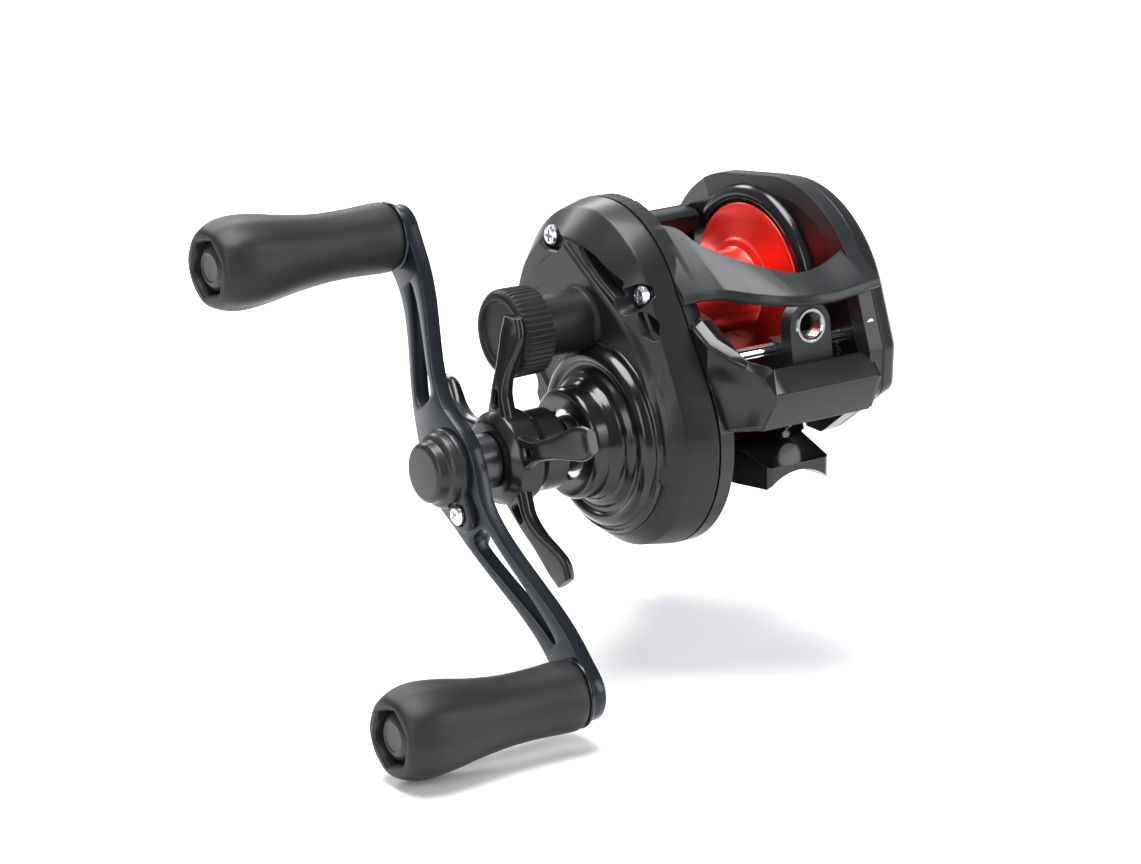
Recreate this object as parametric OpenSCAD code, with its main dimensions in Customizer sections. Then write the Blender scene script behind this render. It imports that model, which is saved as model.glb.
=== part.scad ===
// Low-profile baitcasting fishing reel.
// X runs from the handle side to the palm side, Y from the line guide to the thumb bar, Z is up.
// The origin is the crown of the foot's hollow underside, midway between the spool flanges.

/* [Spool] */
// Overall width across the spool flanges
spool_w = 24; // [20:0.5:29]
// Diameter of the spool flanges
spool_flange_d = 31; // [26:0.5:33]
// Diameter of the spool arbor
spool_arbor_d = 15; // [12:0.5:18]
// Diameter of the spool shaft
spool_shaft_d = 3; // [2:0.1:3.6]
// Height of the spool axis above the foot
spool_height = 24.7; // [23:0.1:30]

/* [Gears] */
// Tooth module of the drive gear and pinion
gear_module = 0.53; // [0.45:0.01:0.6]
// Teeth on the drive gear
drive_teeth = 69; // [60:1:72]
// Teeth on the pinion
pinion_teeth = 11; // [11:1:13]
// Tooth module of the level-wind gears
wind_module = 0.5; // [0.45:0.01:0.55]
// Teeth on the level-wind gear of the drive shaft
idler_teeth = 32; // [28:1:34]
// Teeth on the level-wind gear of the worm shaft
worm_teeth = 20; // [18:1:21]
// Face width of the drive gear
gear_face = 4; // [3:0.1:4.4]

/* [Side plates and covers] */
// Gap between a spool flange and the side plate
wall_gap = 0.7; // [0.4:0.1:1.2]
// Thickness of the frame's side plates
wall_t = 2.8; // [2.2:0.1:3.5]
// Depth of the gear-side cover from the side plate to its flat face
cover_depth = 9.7; // [9.5:0.1:12]
// Wall thickness of the covers
cover_t = 1.8; // [1.4:0.1:2.2]
// Radius of the lower lobe, about the drive shaft
drive_lobe_r = 21.5; // [21.2:0.1:26]
// Radius of the rear lobe, behind the spool
rear_lobe_r = 22.3; // [21.5:0.1:25]
// Depth of the palm-side cover
palm_depth = 6.5; // [6:0.1:9]
// Depth of the hood's rim at each side plate
hood_rim = 3.6; // [3:0.1:5]

/* [Foot] */
// Length of the foot
foot_len = 62; // [54:0.5:72]
// Width of the foot at its middle
foot_w = 16.4; // [15:0.1:18.5]
// Width of the foot at its tips
foot_tip_w = 13.4; // [10:0.1:14.5]
// Radius of the rod seat that the foot rests on
seat_r = 9.5; // [8.8:0.1:10.4]

/* [Handle] */
// Distance between the two knob posts
handle_len = 90; // [75:1:110]
// Tilt of the handle from upright in the modelled position
handle_tilt = 40; // [0:5:90]
// Thickness of the handle arm
arm_t = 2.8; // [2:0.1:3.5]
// How far the hub of the arm stands outboard of its ends
arm_sweep = 7.2; // [4:0.1:8]
// Length of each knob
knob_len = 37.2; // [30:0.5:44]
// Diameter of the knobs at their widest
knob_d = 16.8; // [14:0.1:20]
// Diameter of the knob posts
post_d = 4.4; // [3.6:0.1:5]
// Diameter of the drive shaft
drive_shaft_d = 6; // [5:0.1:6.6]

/* [Star drag and cast control] */
// Number of arms on the star
star_arms = 5; // [4:1:6]
// Radius at the tips of the star
star_r = 25; // [22:0.5:28]
// Diameter of the cast control knob
tension_d = 16.2; // [15.4:0.1:18]
// Width of the cast control knob
tension_w = 6.6; // [6.2:0.1:8]

/* [Level wind] */
// Diameter of the chrome guide rod
rod_d = 2.4; // [1.8:0.1:3]
// Outer diameter of the worm guard tube
tube_d = 6.8; // [6.2:0.1:7.4]
// Bore of the ceramic line ring
ring_bore_d = 4.6; // [3.6:0.1:5]
// Place of the line guide along its travel, from the middle
guide_x = 3; // [-8:0.5:8]

/* [Clearances] */
// Radial clearance of a turning or sliding fit
run = 0.06; // [0.03:0.01:0.1]
// Gap between pieces that pass each other
gap = 0.3; // [0.2:0.05:0.4]

/* [Hidden] */
$fn = 64;

// Axes, each as [Y, Z]
centre_distance = gear_module * (drive_teeth + pinion_teeth) / 2;
drive_lead = 20;
spool_axis = [0, spool_height];
drive_axis = spool_axis + centre_distance * [-sin(drive_lead), -cos(drive_lead)];
wind_distance = wind_module * (idler_teeth + worm_teeth) / 2;
worm_axis = drive_axis + wind_distance * [cos(150), sin(150)];
rod_axis = spool_axis + [-24.8, -3.5];
ring_centre = rod_axis + [-4.9, 4.7];
across = [cos(drive_lead), -sin(drive_lead)];

// Stations along X on the gear side
wall_in = -(spool_w / 2 + wall_gap);
wall_out = wall_in - wall_t;
wing_in = wall_in + 0.6;
nose_in = wing_in + 0.4;
nose_x = -(spool_w / 2 - 2.6);
cover_face = wall_out - cover_depth;
bulge_face = cover_face - 3.3;
neck_end = bulge_face - 6;
star_plane = neck_end - 12.6;
arm_end_out = star_plane - 4.7;
hub_out = arm_end_out - arm_sweep;
knob_in = arm_end_out - 1;
knob_out = knob_in - knob_len;

// Stations along X on the palm side
palm_in = spool_w / 2 + wall_gap;
palm_out = palm_in + wall_t;
palm_face = palm_out + palm_depth;

// Stations inside the gear case, counted outboard from the side plate
cam_x = wall_out - 0.2;
cam_t = 0.6;
wind_x = wall_out - 0.5;
wind_t = 1.4;
ratchet_x = wind_x - wind_t - gap;
ratchet_t = 1.2;
yoke_x = cam_x - cam_t - 0.2;
yoke_t = 1.2;
yoke_travel = 1.6;
gear_x = yoke_x - yoke_t - yoke_travel - 0.4;
gear_out = gear_x - gear_face;
clutch_pin_y = 12;
clutch_pin_z = 4.85;
clutch_start = atan(clutch_pin_z / clutch_pin_y);
clutch_pin_r = norm([clutch_pin_y, clutch_pin_z]);
kick_r = 8.4;
yoke_post_r = 9;
yoke_post_d = 2;
yoke_post_end = gear_x - 2.9;

// A length past every outline, for cuts that go right through
cut_span = 70;

// Radii
flange_r = spool_flange_d / 2;
arbor_r = spool_arbor_d / 2;
shaft_r = spool_shaft_d / 2;
drive_r = drive_shaft_d / 2;
drive_tip_r = gear_module * (drive_teeth + 2) / 2;
spool_window_r = flange_r + 0.7;
bearing_r = 5;
bearing_w = 3;
pinion_journal_r = 2.4;
sleeve_r = 5;
neck_r = 10;
roller_r = 8;
gear_case_r = drive_tip_r + 0.5 + 1.4;
bulge_r = drive_tip_r - 1.8;
tube_r = tube_d / 2;
worm_r = tube_r - 0.9;
rod_r = rod_d / 2;
ring_r = ring_bore_d / 2;
post_r = post_d / 2;
bushing_r = post_r + 1.5;
tension_r = tension_d / 2;
thread_r = tension_r - 2.1;
tension_out = star_plane + 3.9;
tension_in = tension_out + tension_w;
groove_x = tension_in - 0.7;
spool_shaft_out = tension_out + 2.6;
tooth_angle = 20;
backlash = 0.05;

// Lobes of the two side outlines, each as [Y, Z, radius]
gear_lobes = [
    [drive_axis[0], drive_axis[1], drive_lobe_r],
    [5, spool_height - 2.7, rear_lobe_r]
];
palm_lobes = [
    [-8, spool_height - 2.2, 24],
    [-31, spool_height - 4.7, 3.5],
    [-31.3, spool_height - 10.7, 3],
    [5, spool_height - 2.7, rear_lobe_r]
];
palm_floor = 2;
outline_step = 5;
least_corner = 0.5;

// Screw places on the gear-side cover, each as [Y, Z, X of the head's seat]
cover_screw_places = [
    [11.8, spool_height + 12.5, cover_face + 1.6],
    [-12.2, spool_height + 6.4, cover_face + 4.4],
    [17.4, spool_height - 16.2, cover_face + 4.2]
];
cover_screw_r = 1;
cover_screw_head_r = 1.9;
palm_screw_places = [[-25, spool_height - 6], [17, spool_height - 13]];

// ---------- Helpers ----------

// Stands a flat outline drawn in Y and Z up along X, from x0 to x1
module side_plate(x0, x1) {
    translate([x0, 0, 0]) rotate([90, 0, 90]) linear_extrude(x1 - x0) children();
}

// A round bar along X about an axis
module bar(x0, x1, r, axis) {
    translate([x0, axis[0], axis[1]]) rotate([90, 0, 90]) cylinder(h = x1 - x0, r = r);
}

// A ring along X about an axis
module ring(x0, x1, r_in, r_out, axis) {
    difference() {
        bar(x0, x1, r_out, axis);
        bar(x0 - 1, x1 + 1, r_in, axis);
    }
}

// A turned piece about an axis; the outline's points are [radius, X]
module turned(points, axis) {
    translate([0, axis[0], axis[1]]) rotate([90, 0, 90]) rotate_extrude() polygon(points);
}

// A lobe drawn in by an inset; one too small for it keeps a small corner and moves towards the spool
function drawn_in(lobe, inset) =
    let (
        over = max(inset + least_corner - lobe[2], 0),
        way = spool_axis - [lobe[0], lobe[1]],
        moved = over > 0 ? over * way / norm(way) : [0, 0]
    )
    [lobe[0] + moved[0], lobe[1] + moved[1], max(lobe[2] - inset, least_corner)];

// The outermost point, in one direction, of a band pulled tight round the lobes
function band_point(lobes, dir) =
    let (
        reach = [for (lobe = lobes) lobe[0] * cos(dir) + lobe[1] * sin(dir) + lobe[2]],
        lobe = lobes[[for (i = [0:len(lobes) - 1]) if (reach[i] == max(reach)) i][0]]
    )
    [lobe[0], lobe[1]] + lobe[2] * [cos(dir), sin(dir)];
function band(lobes, inset = 0) =
    let (inner = [for (lobe = lobes) drawn_in(lobe, inset)])
    [for (dir = [0:outline_step:360 - outline_step]) band_point(inner, dir)];

// Joins outlines of equal point count, each as [X, points], into one closed skin
module skin(sections) {
    n = len(sections[0][1]);
    count = len(sections);
    points = [for (s = sections) for (p = s[1]) [s[0], p[0], p[1]]];
    sides = [
        for (k = [0:count - 2]) for (i = [0:n - 1])
            let (j = (i + 1) % n)
            [k * n + i, k * n + j, (k + 1) * n + j, (k + 1) * n + i]
    ];
    first = [for (i = [n - 1:-1:0]) i];
    last = [for (i = [0:n - 1]) (count - 1) * n + i];
    rising = sections[count - 1][0] > sections[0][0];
    faces = concat([first, last], sides);
    flip = [for (f = faces) [for (i = [len(f) - 1:-1:0]) f[i]]];
    polyhedron(points, rising ? flip : faces);
}

// Involute tooth flank
function flank_angle(r, base) = r <= base ? 0 : sqrt(pow(r / base, 2) - 1) * 180 / PI - acos(base / r);
function gear_points(teeth, m, shift) =
    let (
        pitch = m * teeth / 2,
        base = pitch * cos(tooth_angle),
        tip = pitch + m * (1 + shift),
        root = pitch - m * (1.25 - shift),
        half = 90 / teeth + shift * 2 * m * tan(tooth_angle) / pitch * 90 / PI
            - backlash / pitch * 90 / PI,
        start = max(base, root)
    )
    [
        for (t = [0:teeth - 1]) for (side = [-1, 1]) for (k = side < 0 ? [0:1:4] : [4:-1:0])
            let (
                r = k == 0 ? root : start + (tip - start) * (k - 1) / 3,
                off = half + flank_angle(pitch, base) - flank_angle(max(r, base), base),
                angle = t * 360 / teeth + side * max(off, 0.15)
            )
            r * [cos(angle), sin(angle)]
    ];

// A spur gear blank along X, turned by phase
module spur(x0, x1, teeth, m, axis, phase, shift = 0) {
    translate([x0, axis[0], axis[1]]) rotate([90, 0, 90]) rotate([0, 0, phase])
        linear_extrude(x1 - x0) polygon(gear_points(teeth, m, shift));
}

// A shielded ball bearing
module bearing(x0, r_in, axis) {
    x1 = x0 + bearing_w;
    mid = (r_in + bearing_r) / 2;
    turned([
        [r_in, x0], [mid - 0.9, x0], [mid - 0.8, x0 + 0.3], [mid + 0.8, x0 + 0.3], [mid + 0.9, x0],
        [bearing_r, x0], [bearing_r, x1], [mid + 0.9, x1], [mid + 0.8, x1 - 0.3],
        [mid - 0.8, x1 - 0.3], [mid - 0.9, x1], [r_in, x1]
    ], axis);
}

// A cross-head screw whose head seats at x and whose shank runs inboard or outboard by length
module screw(x, place, shank_r, head_r, length, outboard = -1) {
    head_t = head_r * 0.6;
    translate([x, place[0], place[1]]) rotate([0, outboard * 90, 0]) difference() {
        union() {
            translate([0, 0, -length]) cylinder(h = length + 0.1, r = shank_r);
            cylinder(h = head_t * 0.6, r = head_r);
            translate([0, 0, head_t * 0.6]) cylinder(h = head_t * 0.4, r1 = head_r, r2 = head_r * 0.75);
        }
        for (turn = [0, 90]) rotate([0, 0, turn])
            translate([-head_r * 0.6, -head_r * 0.13, head_t * 0.45])
                cube([head_r * 1.2, head_r * 0.26, 2]);
    }
}

// Moves drawing that was made along the handle, from its middle, into place
module on_handle() {
    translate([0, drive_axis[0], drive_axis[1]]) rotate([-handle_tilt, 0, 0]) children();
}
function knob_axis(side) =
    drive_axis + side * handle_len / 2 * [sin(handle_tilt), cos(handle_tilt)];

// ---------- Frame ----------

module gear_outline(inset = 0) {
    polygon(band(gear_lobes, inset));
}

module palm_outline(inset = 0) {
    intersection() {
        polygon(band(palm_lobes, inset));
        translate([-cut_span, palm_floor + inset]) square(2 * cut_span);
    }
}

// The part of the side outlines that the hood's rims fill
module hood_zone(gear_side) {
    if (gear_side)
        polygon([[-24, spool_height + 3], [-11, spool_height + 3], [9, cut_span], [-24, cut_span]]);
    else
        polygon([[-60, spool_height - 1], [-20, spool_height - 1], [6, spool_height + 10], [6, 90],
            [-60, 90]]);
}

module gear_wall_outline() {
    difference() {
        gear_outline();
        intersection() {
            difference() {
                gear_outline(-1);
                gear_outline(hood_rim);
            }
            hood_zone(true);
        }
    }
}

module palm_wall_outline() {
    difference() {
        palm_outline();
        intersection() {
            difference() {
                palm_outline(-1);
                palm_outline(hood_rim);
            }
            hood_zone(false);
        }
    }
}

// Front corner of the gear side, running from the side plate to the front bar
module wing_outline() {
    polygon([
        [-flange_r - 1.3, spool_height + 2], [-20, spool_height + 1.6], [-28, spool_height - 2.4],
        [-34.5, spool_height - 4.6], [-36.6, spool_height - 8.2], [-34, spool_height - 14.6],
        [-27, spool_height - 16.2], [-18, spool_height - 14]
    ]);
}

// Slanted face that runs from the side plate to the gear-side end of the front bar
module nose_cut() {
    linear_extrude(spool_height + 10) polygon([
        [wall_out, -24.5], [nose_x, -36.7], [nose_x + 2, -40.7], [wall_out - 3, -40.7], [wall_out - 3, -24.5]
    ]);
}

module bar_outline() {
    polygon([
        [-31.3, spool_height - 5.2], [-33.2, spool_height - 4.7], [-36.6, spool_height - 8.2],
        [-34, spool_height - 14.6], [-31.6, spool_height - 14.4], [-33.2, spool_height - 9]
    ]);
}

// Trough under the spool, between the side plates
module trough() {
    inner = flange_r + 1.5;
    intersection() {
        ring(wall_in - 1, palm_in + 1, inner, inner + 2.2, spool_axis);
        side_plate(wall_in - 1, palm_in + 1) polygon([
            spool_axis, spool_axis + 40 * [cos(242), sin(242)], spool_axis + 60 * [0, -1],
            spool_axis + 40 * [cos(340), sin(340)]
        ]);
    }
}

module foot() {
    half = foot_len / 2;
    flat = 14;
    arch_top = spool_height - flange_r - 2.6;
    difference() {
        intersection() {
            translate([0, 0, -8]) linear_extrude(30) polygon([
                [-foot_w / 2, -flat], [-foot_tip_w / 2, -half + 0.6], [-foot_tip_w / 2 + 0.8, -half],
                [foot_tip_w / 2 - 0.8, -half], [foot_tip_w / 2, -half + 0.6], [foot_w / 2, -flat],
                [foot_w / 2, flat], [foot_tip_w / 2, half - 0.6], [foot_tip_w / 2 - 0.8, half],
                [-foot_tip_w / 2 + 0.8, half], [-foot_tip_w / 2, half - 0.6], [-foot_w / 2, flat]
            ]);
            side_plate(-foot_w, foot_w) polygon([
                [-half - 1, -8], [-half - 1, 1.1], [-flat - 4, 4.2], [-flat, arch_top], [flat, arch_top],
                [flat + 4, 4.2], [half + 1, 1.1], [half + 1, -8]
            ]);
        }
        translate([0, -half - 2, -seat_r]) rotate([-90, 0, 0]) cylinder(h = foot_len + 4, r = seat_r);
        translate([-foot_w, -half - 2, -12]) cube([2 * foot_w, foot_len + 4, 12 - seat_r + seat_r * 0.62]);
    }
}

module thumb_slots() {
    // The slot that the thumb bar's leg works in, and the one for its lug on the palm side
    side_plate(wall_out - 1, wall_in + 1)
        translate([10.2, spool_height - 4.6]) square([11, 14.2]);
    side_plate(palm_in - 1, palm_out + 1)
        translate([18.7, spool_height + 0.4]) square([3.6, 9]);
}

module frame() {
    color([0.12, 0.13, 0.14]) difference() {
        union() {
            side_plate(wall_out, wall_in) gear_wall_outline();
            side_plate(palm_in, palm_out) palm_wall_outline();
            difference() {
                union() {
                    side_plate(wall_out, wing_in) wing_outline();
                    side_plate(wall_out, nose_in) intersection() {
                        wing_outline();
                        translate([-cut_span, 0]) square([cut_span - 27, spool_height]);
                    }
                    side_plate(wall_in - 1, palm_in + 1) bar_outline();
                }
                nose_cut();
            }
            trough();
            foot();
            // Rear tie under the thumb bar
            side_plate(wall_in - 1, palm_in + 1) translate([18.2, spool_height - 14]) square([3.4, 5]);
            for (i = [0, 2])
                bar(cover_screw_places[i][2] + 3.4, wall_in, 2.1, cover_screw_places[i]);
        }
        bar(wall_out - 1, wall_in + 1, bearing_r + 0.02, spool_axis);
        bar(palm_in - 1, palm_out + 1, spool_window_r, spool_axis);
        bar(wall_out - 1, wall_in + 1, drive_r + 1.5, drive_axis);
        bar(wall_out - 1, palm_out + 1, tube_r + 0.01, worm_axis);
        bar(wall_out + 1, palm_out - 1, rod_r + 0.01, rod_axis);
        for (side = [-1, 1])
            bar(wall_out - 1, wall_in + 1, yoke_post_d / 2, spool_axis + side * yoke_post_r * across);
        for (place = cover_screw_places) bar(place[2], wall_in + 1, cover_screw_r, place);
        for (place = palm_screw_places) bar(palm_in - 1, palm_out + 1, cover_screw_r, place);
        for (side = [0, 1]) hood_screw_holes(side);
        thumb_slots();
    }
}

// Front and rear edges of the hood's beam, as [X, front Y, front Z, rear Y, rear Z], heights from
// the spool axis
hood_edges = [
    [wall_out, -17.8, 5.6, -4.5, 17.2],
    [wall_in + 2, -21.5, 7, -7.6, 16.3],
    [-8, -28, 7.8, -11.5, 13.6],
    [-4, -32.6, 7.9, -20.5, 11.8],
    [0.5, -34.4, 7.6, -27, 10.8],
    [6, -34.6, 7.6, -27, 10.8],
    [palm_in - 2, -34.4, 7.9, -26, 12],
    [palm_out, -34, 8.2, -24.6, 13.6]
];
hood_t = 2;

module front_hood() {
    color([0.15, 0.16, 0.17]) difference() {
        union() {
            skin([
                for (e = hood_edges)
                    let (
                        front = [e[1], spool_height + e[2]],
                        rear = [e[3], spool_height + e[4]],
                        along = (rear - front) / norm(rear - front),
                        down = hood_t * [along[1], -along[0]]
                    )
                    [e[0], [front + down, rear + down, rear, front]]
            ]);
            side_plate(wall_out, wall_in) hood_rim_outline(true);
            side_plate(palm_in, palm_out) hood_rim_outline(false);
        }
        bar(wall_in - 0.1, palm_in + 0.1, spool_window_r, spool_axis);
        // Seats on the side plates and the front corner
        side_plate(wall_out - 1, wall_in + 0.02) gear_wall_outline();
        side_plate(palm_in - 0.02, palm_out + 1) palm_wall_outline();
        side_plate(wall_out - 1, nose_in + 0.02) wing_outline();
        for (side = [0, 1]) hood_screw_holes(side);
        bar(cover_screw_places[1][2], wall_in + 1, cover_screw_r, cover_screw_places[1]);
    }
}

module hood_rim_outline(gear_side) {
    intersection() {
        difference() {
            if (gear_side) gear_outline(); else palm_outline();
            if (gear_side) gear_outline(hood_rim - 0.05); else palm_outline(hood_rim - 0.05);
        }
        hood_zone(gear_side);
    }
}

// Hood screws stand on the rims, one each side
hood_screw_places = [
    [(wall_in + wall_out) / 2, -4, spool_height + 12.4],
    [(palm_in + palm_out) / 2, -28.2, spool_height + 0.6]
];
hood_screw_r = 0.8;
hood_screw_len = 4.5;
module hood_screw_holes(side) {
    place = hood_screw_places[side];
    if (side == 0) translate(place) cylinder(h = 20, r = hood_screw_r);
    else translate(place) rotate([90, 0, 0]) cylinder(h = 20, r = hood_screw_r);
}

module hood_screws() {
    color("silver") {
        translate(hood_screw_places[0]) cylinder(h = hood_screw_len, r = hood_screw_r - 0.02);
        translate(hood_screw_places[1]) rotate([90, 0, 0])
            cylinder(h = hood_screw_len, r = hood_screw_r - 0.02);
    }
}

// ---------- Covers ----------

module gear_side_cover() {
    rim = wall_out - 0.05;
    color([0.1, 0.11, 0.12]) difference() {
        union() {
            skin([
                [rim, band(gear_lobes)],
                [rim - 3.4, band(gear_lobes, 0.3)],
                [rim - 6.2, band(gear_lobes, 2)],
                [cover_face, band(gear_lobes, 6)]
            ]);
            turned([
                [0, rim - 4], [gear_case_r, rim - 4], [gear_case_r, gear_out - 0.7],
                [gear_case_r - 0.8, gear_out - 1.6], [bulge_r + 1.6, gear_out - 2.2],
                [bulge_r + 1.5, cover_face - 1.6], [bulge_r, cover_face - 2.2],
                [bulge_r - 2.2, bulge_face], [neck_r + 2.4, bulge_face], [neck_r + 1.4, bulge_face - 1.2],
                [neck_r, bulge_face - 1.8], [neck_r, neck_end], [0, neck_end]
            ], drive_axis);
            turned([
                [0, cover_face + 2], [tension_r + 1.6, cover_face + 2], [tension_r + 0.6, cover_face - 3],
                [tension_r - 0.6, tension_in + gap], [thread_r, tension_in + gap],
                [thread_r, groove_x + 0.3], [thread_r - 0.52, groove_x + 0.3],
                [thread_r - 0.52, groove_x - 0.3],
                [thread_r, groove_x - 0.3], [thread_r, tension_out + 2.4], [0, tension_out + 2.4]
            ], spool_axis);
        }
        side_plate(rim - 3.9, rim + 1) gear_outline(cover_t);
        bar(gear_out - 0.5, rim + 1, drive_tip_r + 0.5, drive_axis);
        bar(bulge_face + cover_t, rim + 1, bulge_r - 3.2, drive_axis);
        bar(gear_x - 3.3, rim + 1, yoke_post_r + 2, spool_axis);
        bar(neck_end + 0.8, bulge_face + 4, roller_r + 0.01, drive_axis);
        bar(neck_end - 1, bulge_face + 4, sleeve_r + 0.6, drive_axis);
        bar(tension_out, gear_x, 4, spool_axis);
        bar(tension_out, tension_out + 2.4 + bearing_w, bearing_r + 0.01, spool_axis);
        for (place = cover_screw_places) {
            bar(cover_face - 8, place[2], cover_screw_head_r + 0.25, place);
            bar(place[2] - 1, place[2] + 20, cover_screw_r + 0.1, place);
        }
        for (i = [0, 2]) bar(cover_screw_places[i][2] + 3.3, wall_out + 1, 2.2, cover_screw_places[i]);
    }
}

module palm_side_cover() {
    rim = palm_out + 0.05;
    function section(inset) = [for (p = band(palm_lobes, inset)) [p[0], max(p[1], palm_floor + inset)]];
    color([0.1, 0.11, 0.12]) difference() {
        skin([
            [rim, section(0)], [rim + 2.2, section(0.5)], [rim + 4.6, section(2.4)],
            [palm_face + 0.5, section(7.6)]
        ]);
        side_plate(palm_face, palm_face + 1) square(2 * cut_span, center = true);
        difference() {
            side_plate(rim - 1, rim + 2.6) palm_outline(cover_t);
            bar(rim - 2, palm_face, bearing_r + 0.9, spool_axis);
            for (place = palm_screw_places) bar(rim - 2, palm_face, 2.2, place);
        }
        difference() {
            bar(rim - 1, palm_face - 2.8, flange_r - 1.5, spool_axis);
            bar(rim - 2, palm_face, bearing_r + 0.9, spool_axis);
        }
        bar(rim - 1, rim + 1.1 + bearing_w, bearing_r + 0.01, spool_axis);
        difference() {
            bar(palm_face - 1.5, palm_face + 1, dial_r + gap, spool_axis);
            bar(palm_face - 2, palm_face - 0.5, 2.5, spool_axis);
        }
        for (place = palm_screw_places) {
            bar(palm_face - 1.9, palm_face + 1, cover_screw_head_r + 0.2, place);
            bar(rim - 1, palm_face, cover_screw_r + 0.1, place);
        }
    }
}

module cover_screws() {
    color("silver") for (place = cover_screw_places)
        screw(place[2], place, cover_screw_r, cover_screw_head_r, wall_in - 0.3 - place[2]);
}

module palm_cover_screws() {
    color("silver") for (place = palm_screw_places)
        screw(palm_face - 1.9, place, cover_screw_r, cover_screw_head_r,
            palm_face - 1.9 - palm_in - 0.3, 1);
}

// ---------- Spool and brake ----------

module spool() {
    half = spool_w / 2;
    web = 0.8;
    color([0.8, 0.1, 0.08]) union() {
        turned([
            [arbor_r - 1.1, -half + 1.2], [flange_r - 1.4, -half], [flange_r, -half],
            [flange_r, -half + 0.8],
            [flange_r - 0.7, -half + 1.1], [arbor_r + 1, -half + 2.4], [arbor_r, -half + 2.6],
            [arbor_r, half - 2.6], [arbor_r + 1, half - 2.4], [flange_r - 0.7, half - 1.1],
            [flange_r, half - 0.8], [flange_r, half], [flange_r - 1.4, half], [flange_r - 1.8, half - 0.7],
            [arbor_r - 1.1, half - 1.3]
        ], spool_axis);
        ring(-web, web, shaft_r, arbor_r - 0.5, spool_axis);
        ring(-half + 0.2, half - 2, shaft_r, shaft_r + 1.5, spool_axis);
    }
}

module spool_shaft() {
    color("silver") turned([
        [0, spool_shaft_out], [shaft_r - 0.4, spool_shaft_out], [shaft_r, spool_shaft_out + 0.5],
        [shaft_r, palm_out + 3.6], [shaft_r - 0.3, palm_out + 3.9], [0, palm_out + 3.9]
    ], spool_axis);
}

// Cross pin that the pinion's slot drives
spool_pin_x = wall_in - 0.85;
module spool_pin() {
    color("gainsboro") difference() {
        translate([spool_pin_x, spool_axis[0], spool_axis[1] - 2.2]) cylinder(h = 4.4, r = 0.5);
        bar(spool_pin_x - 1, spool_pin_x + 1, shaft_r, spool_axis);
    }
}

module brake_rotor() {
    half = spool_w / 2;
    color("silver") turned([
        [shaft_r, half - 2], [shaft_r + 2.3, half - 2], [shaft_r + 2.3, half - 0.5],
        [flange_r - 2.4, half - 0.5], [flange_r - 2.4, half], [shaft_r, half]
    ], spool_axis);
}

module palm_spool_bearing() {
    color("silver") bearing(palm_out + 1.15, shaft_r + run, spool_axis);
}

module gear_spool_bearing() {
    color("silver") bearing(tension_out + 2.4, shaft_r + run, spool_axis);
}

module pinion_bearing() {
    color("silver") translate([wall_out + 0.1, 0, 0])
        ring(0, wall_t - 0.6, pinion_journal_r + run, bearing_r, spool_axis);
}

magnet_x = palm_in + 1.1;
magnet_count = 8;
magnet_ring_r = arbor_r + 2.2;
module magnet_plate() {
    color([0.2, 0.2, 0.22]) difference() {
        ring(magnet_x + 0.9, magnet_x + 2, bearing_r + 1.2, flange_r - 2, spool_axis);
    }
}

module brake_magnets() {
    color("silver") for (i = [0:magnet_count - 1]) {
        turn = i * 360 / magnet_count;
        bar(magnet_x, magnet_x + 0.9, 1.5, spool_axis + magnet_ring_r * [cos(turn), sin(turn)]);
    }
}

dial_r = 8.5;
module brake_dial() {
    ribs = 24;
    color([0.16, 0.17, 0.18]) difference() {
        union() {
            bar(palm_face - 1.3, palm_face + 0.5, dial_r - 0.4, spool_axis);
            for (i = [0:ribs - 1])
                bar(palm_face - 1.2, palm_face + 0.2, 0.5,
                    spool_axis + (dial_r - 0.5) * [cos(i * 360 / ribs), sin(i * 360 / ribs)]);
        }
        bar(palm_face - 2, palm_face - 0.4, 2.5 + run, spool_axis);
        // Finger bar left standing between two scoops
        for (side = [-1, 1])
            bar(palm_face - 0.5, palm_face + 1, 2.8, spool_axis + [side * 4.4, 0]);
    }
}

// ---------- Cast control ----------

module tension_knob() {
    ribs = 48;
    color([0.13, 0.14, 0.15]) difference() {
        union() {
            turned([
                [0, tension_out + 0.5], [tension_r - 3.3, tension_out + 0.5],
                [tension_r - 2.9, tension_out],
                [tension_r - 1, tension_out], [tension_r - 0.3, tension_out + 0.7],
                [tension_r - 0.3, tension_in],
                [0, tension_in]
            ], spool_axis);
            for (i = [0:ribs - 1])
                bar(tension_out + 0.9, tension_in, 0.3,
                    spool_axis + (tension_r - 0.3) * [cos(i * 360 / ribs), sin(i * 360 / ribs)]);
        }
        bar(tension_out + 2.3, tension_in + 1, thread_r + run, spool_axis);
        bar(tension_out + 1.2, tension_in, bearing_r - 0.4, spool_axis);
    }
}

module tension_shim() {
    color("tan") bar(tension_out + 1.2, tension_out + 1.9, bearing_r - 0.5, spool_axis);
}

module tension_o_ring() {
    color([0.05, 0.05, 0.05]) translate([groove_x, spool_axis[0], spool_axis[1]])
        rotate([90, 0, 90]) rotate_extrude() translate([thread_r - 0.26, 0]) circle(r = 0.25);
}

// ---------- Clutch ----------

pinion_end = wall_in - 0.2;
pinion_flange = yoke_x - yoke_t - gap;
mesh_angle = 90 - drive_lead;
pinion_shift = 0.3;
pinion_neck_r = 1.9;

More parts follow.
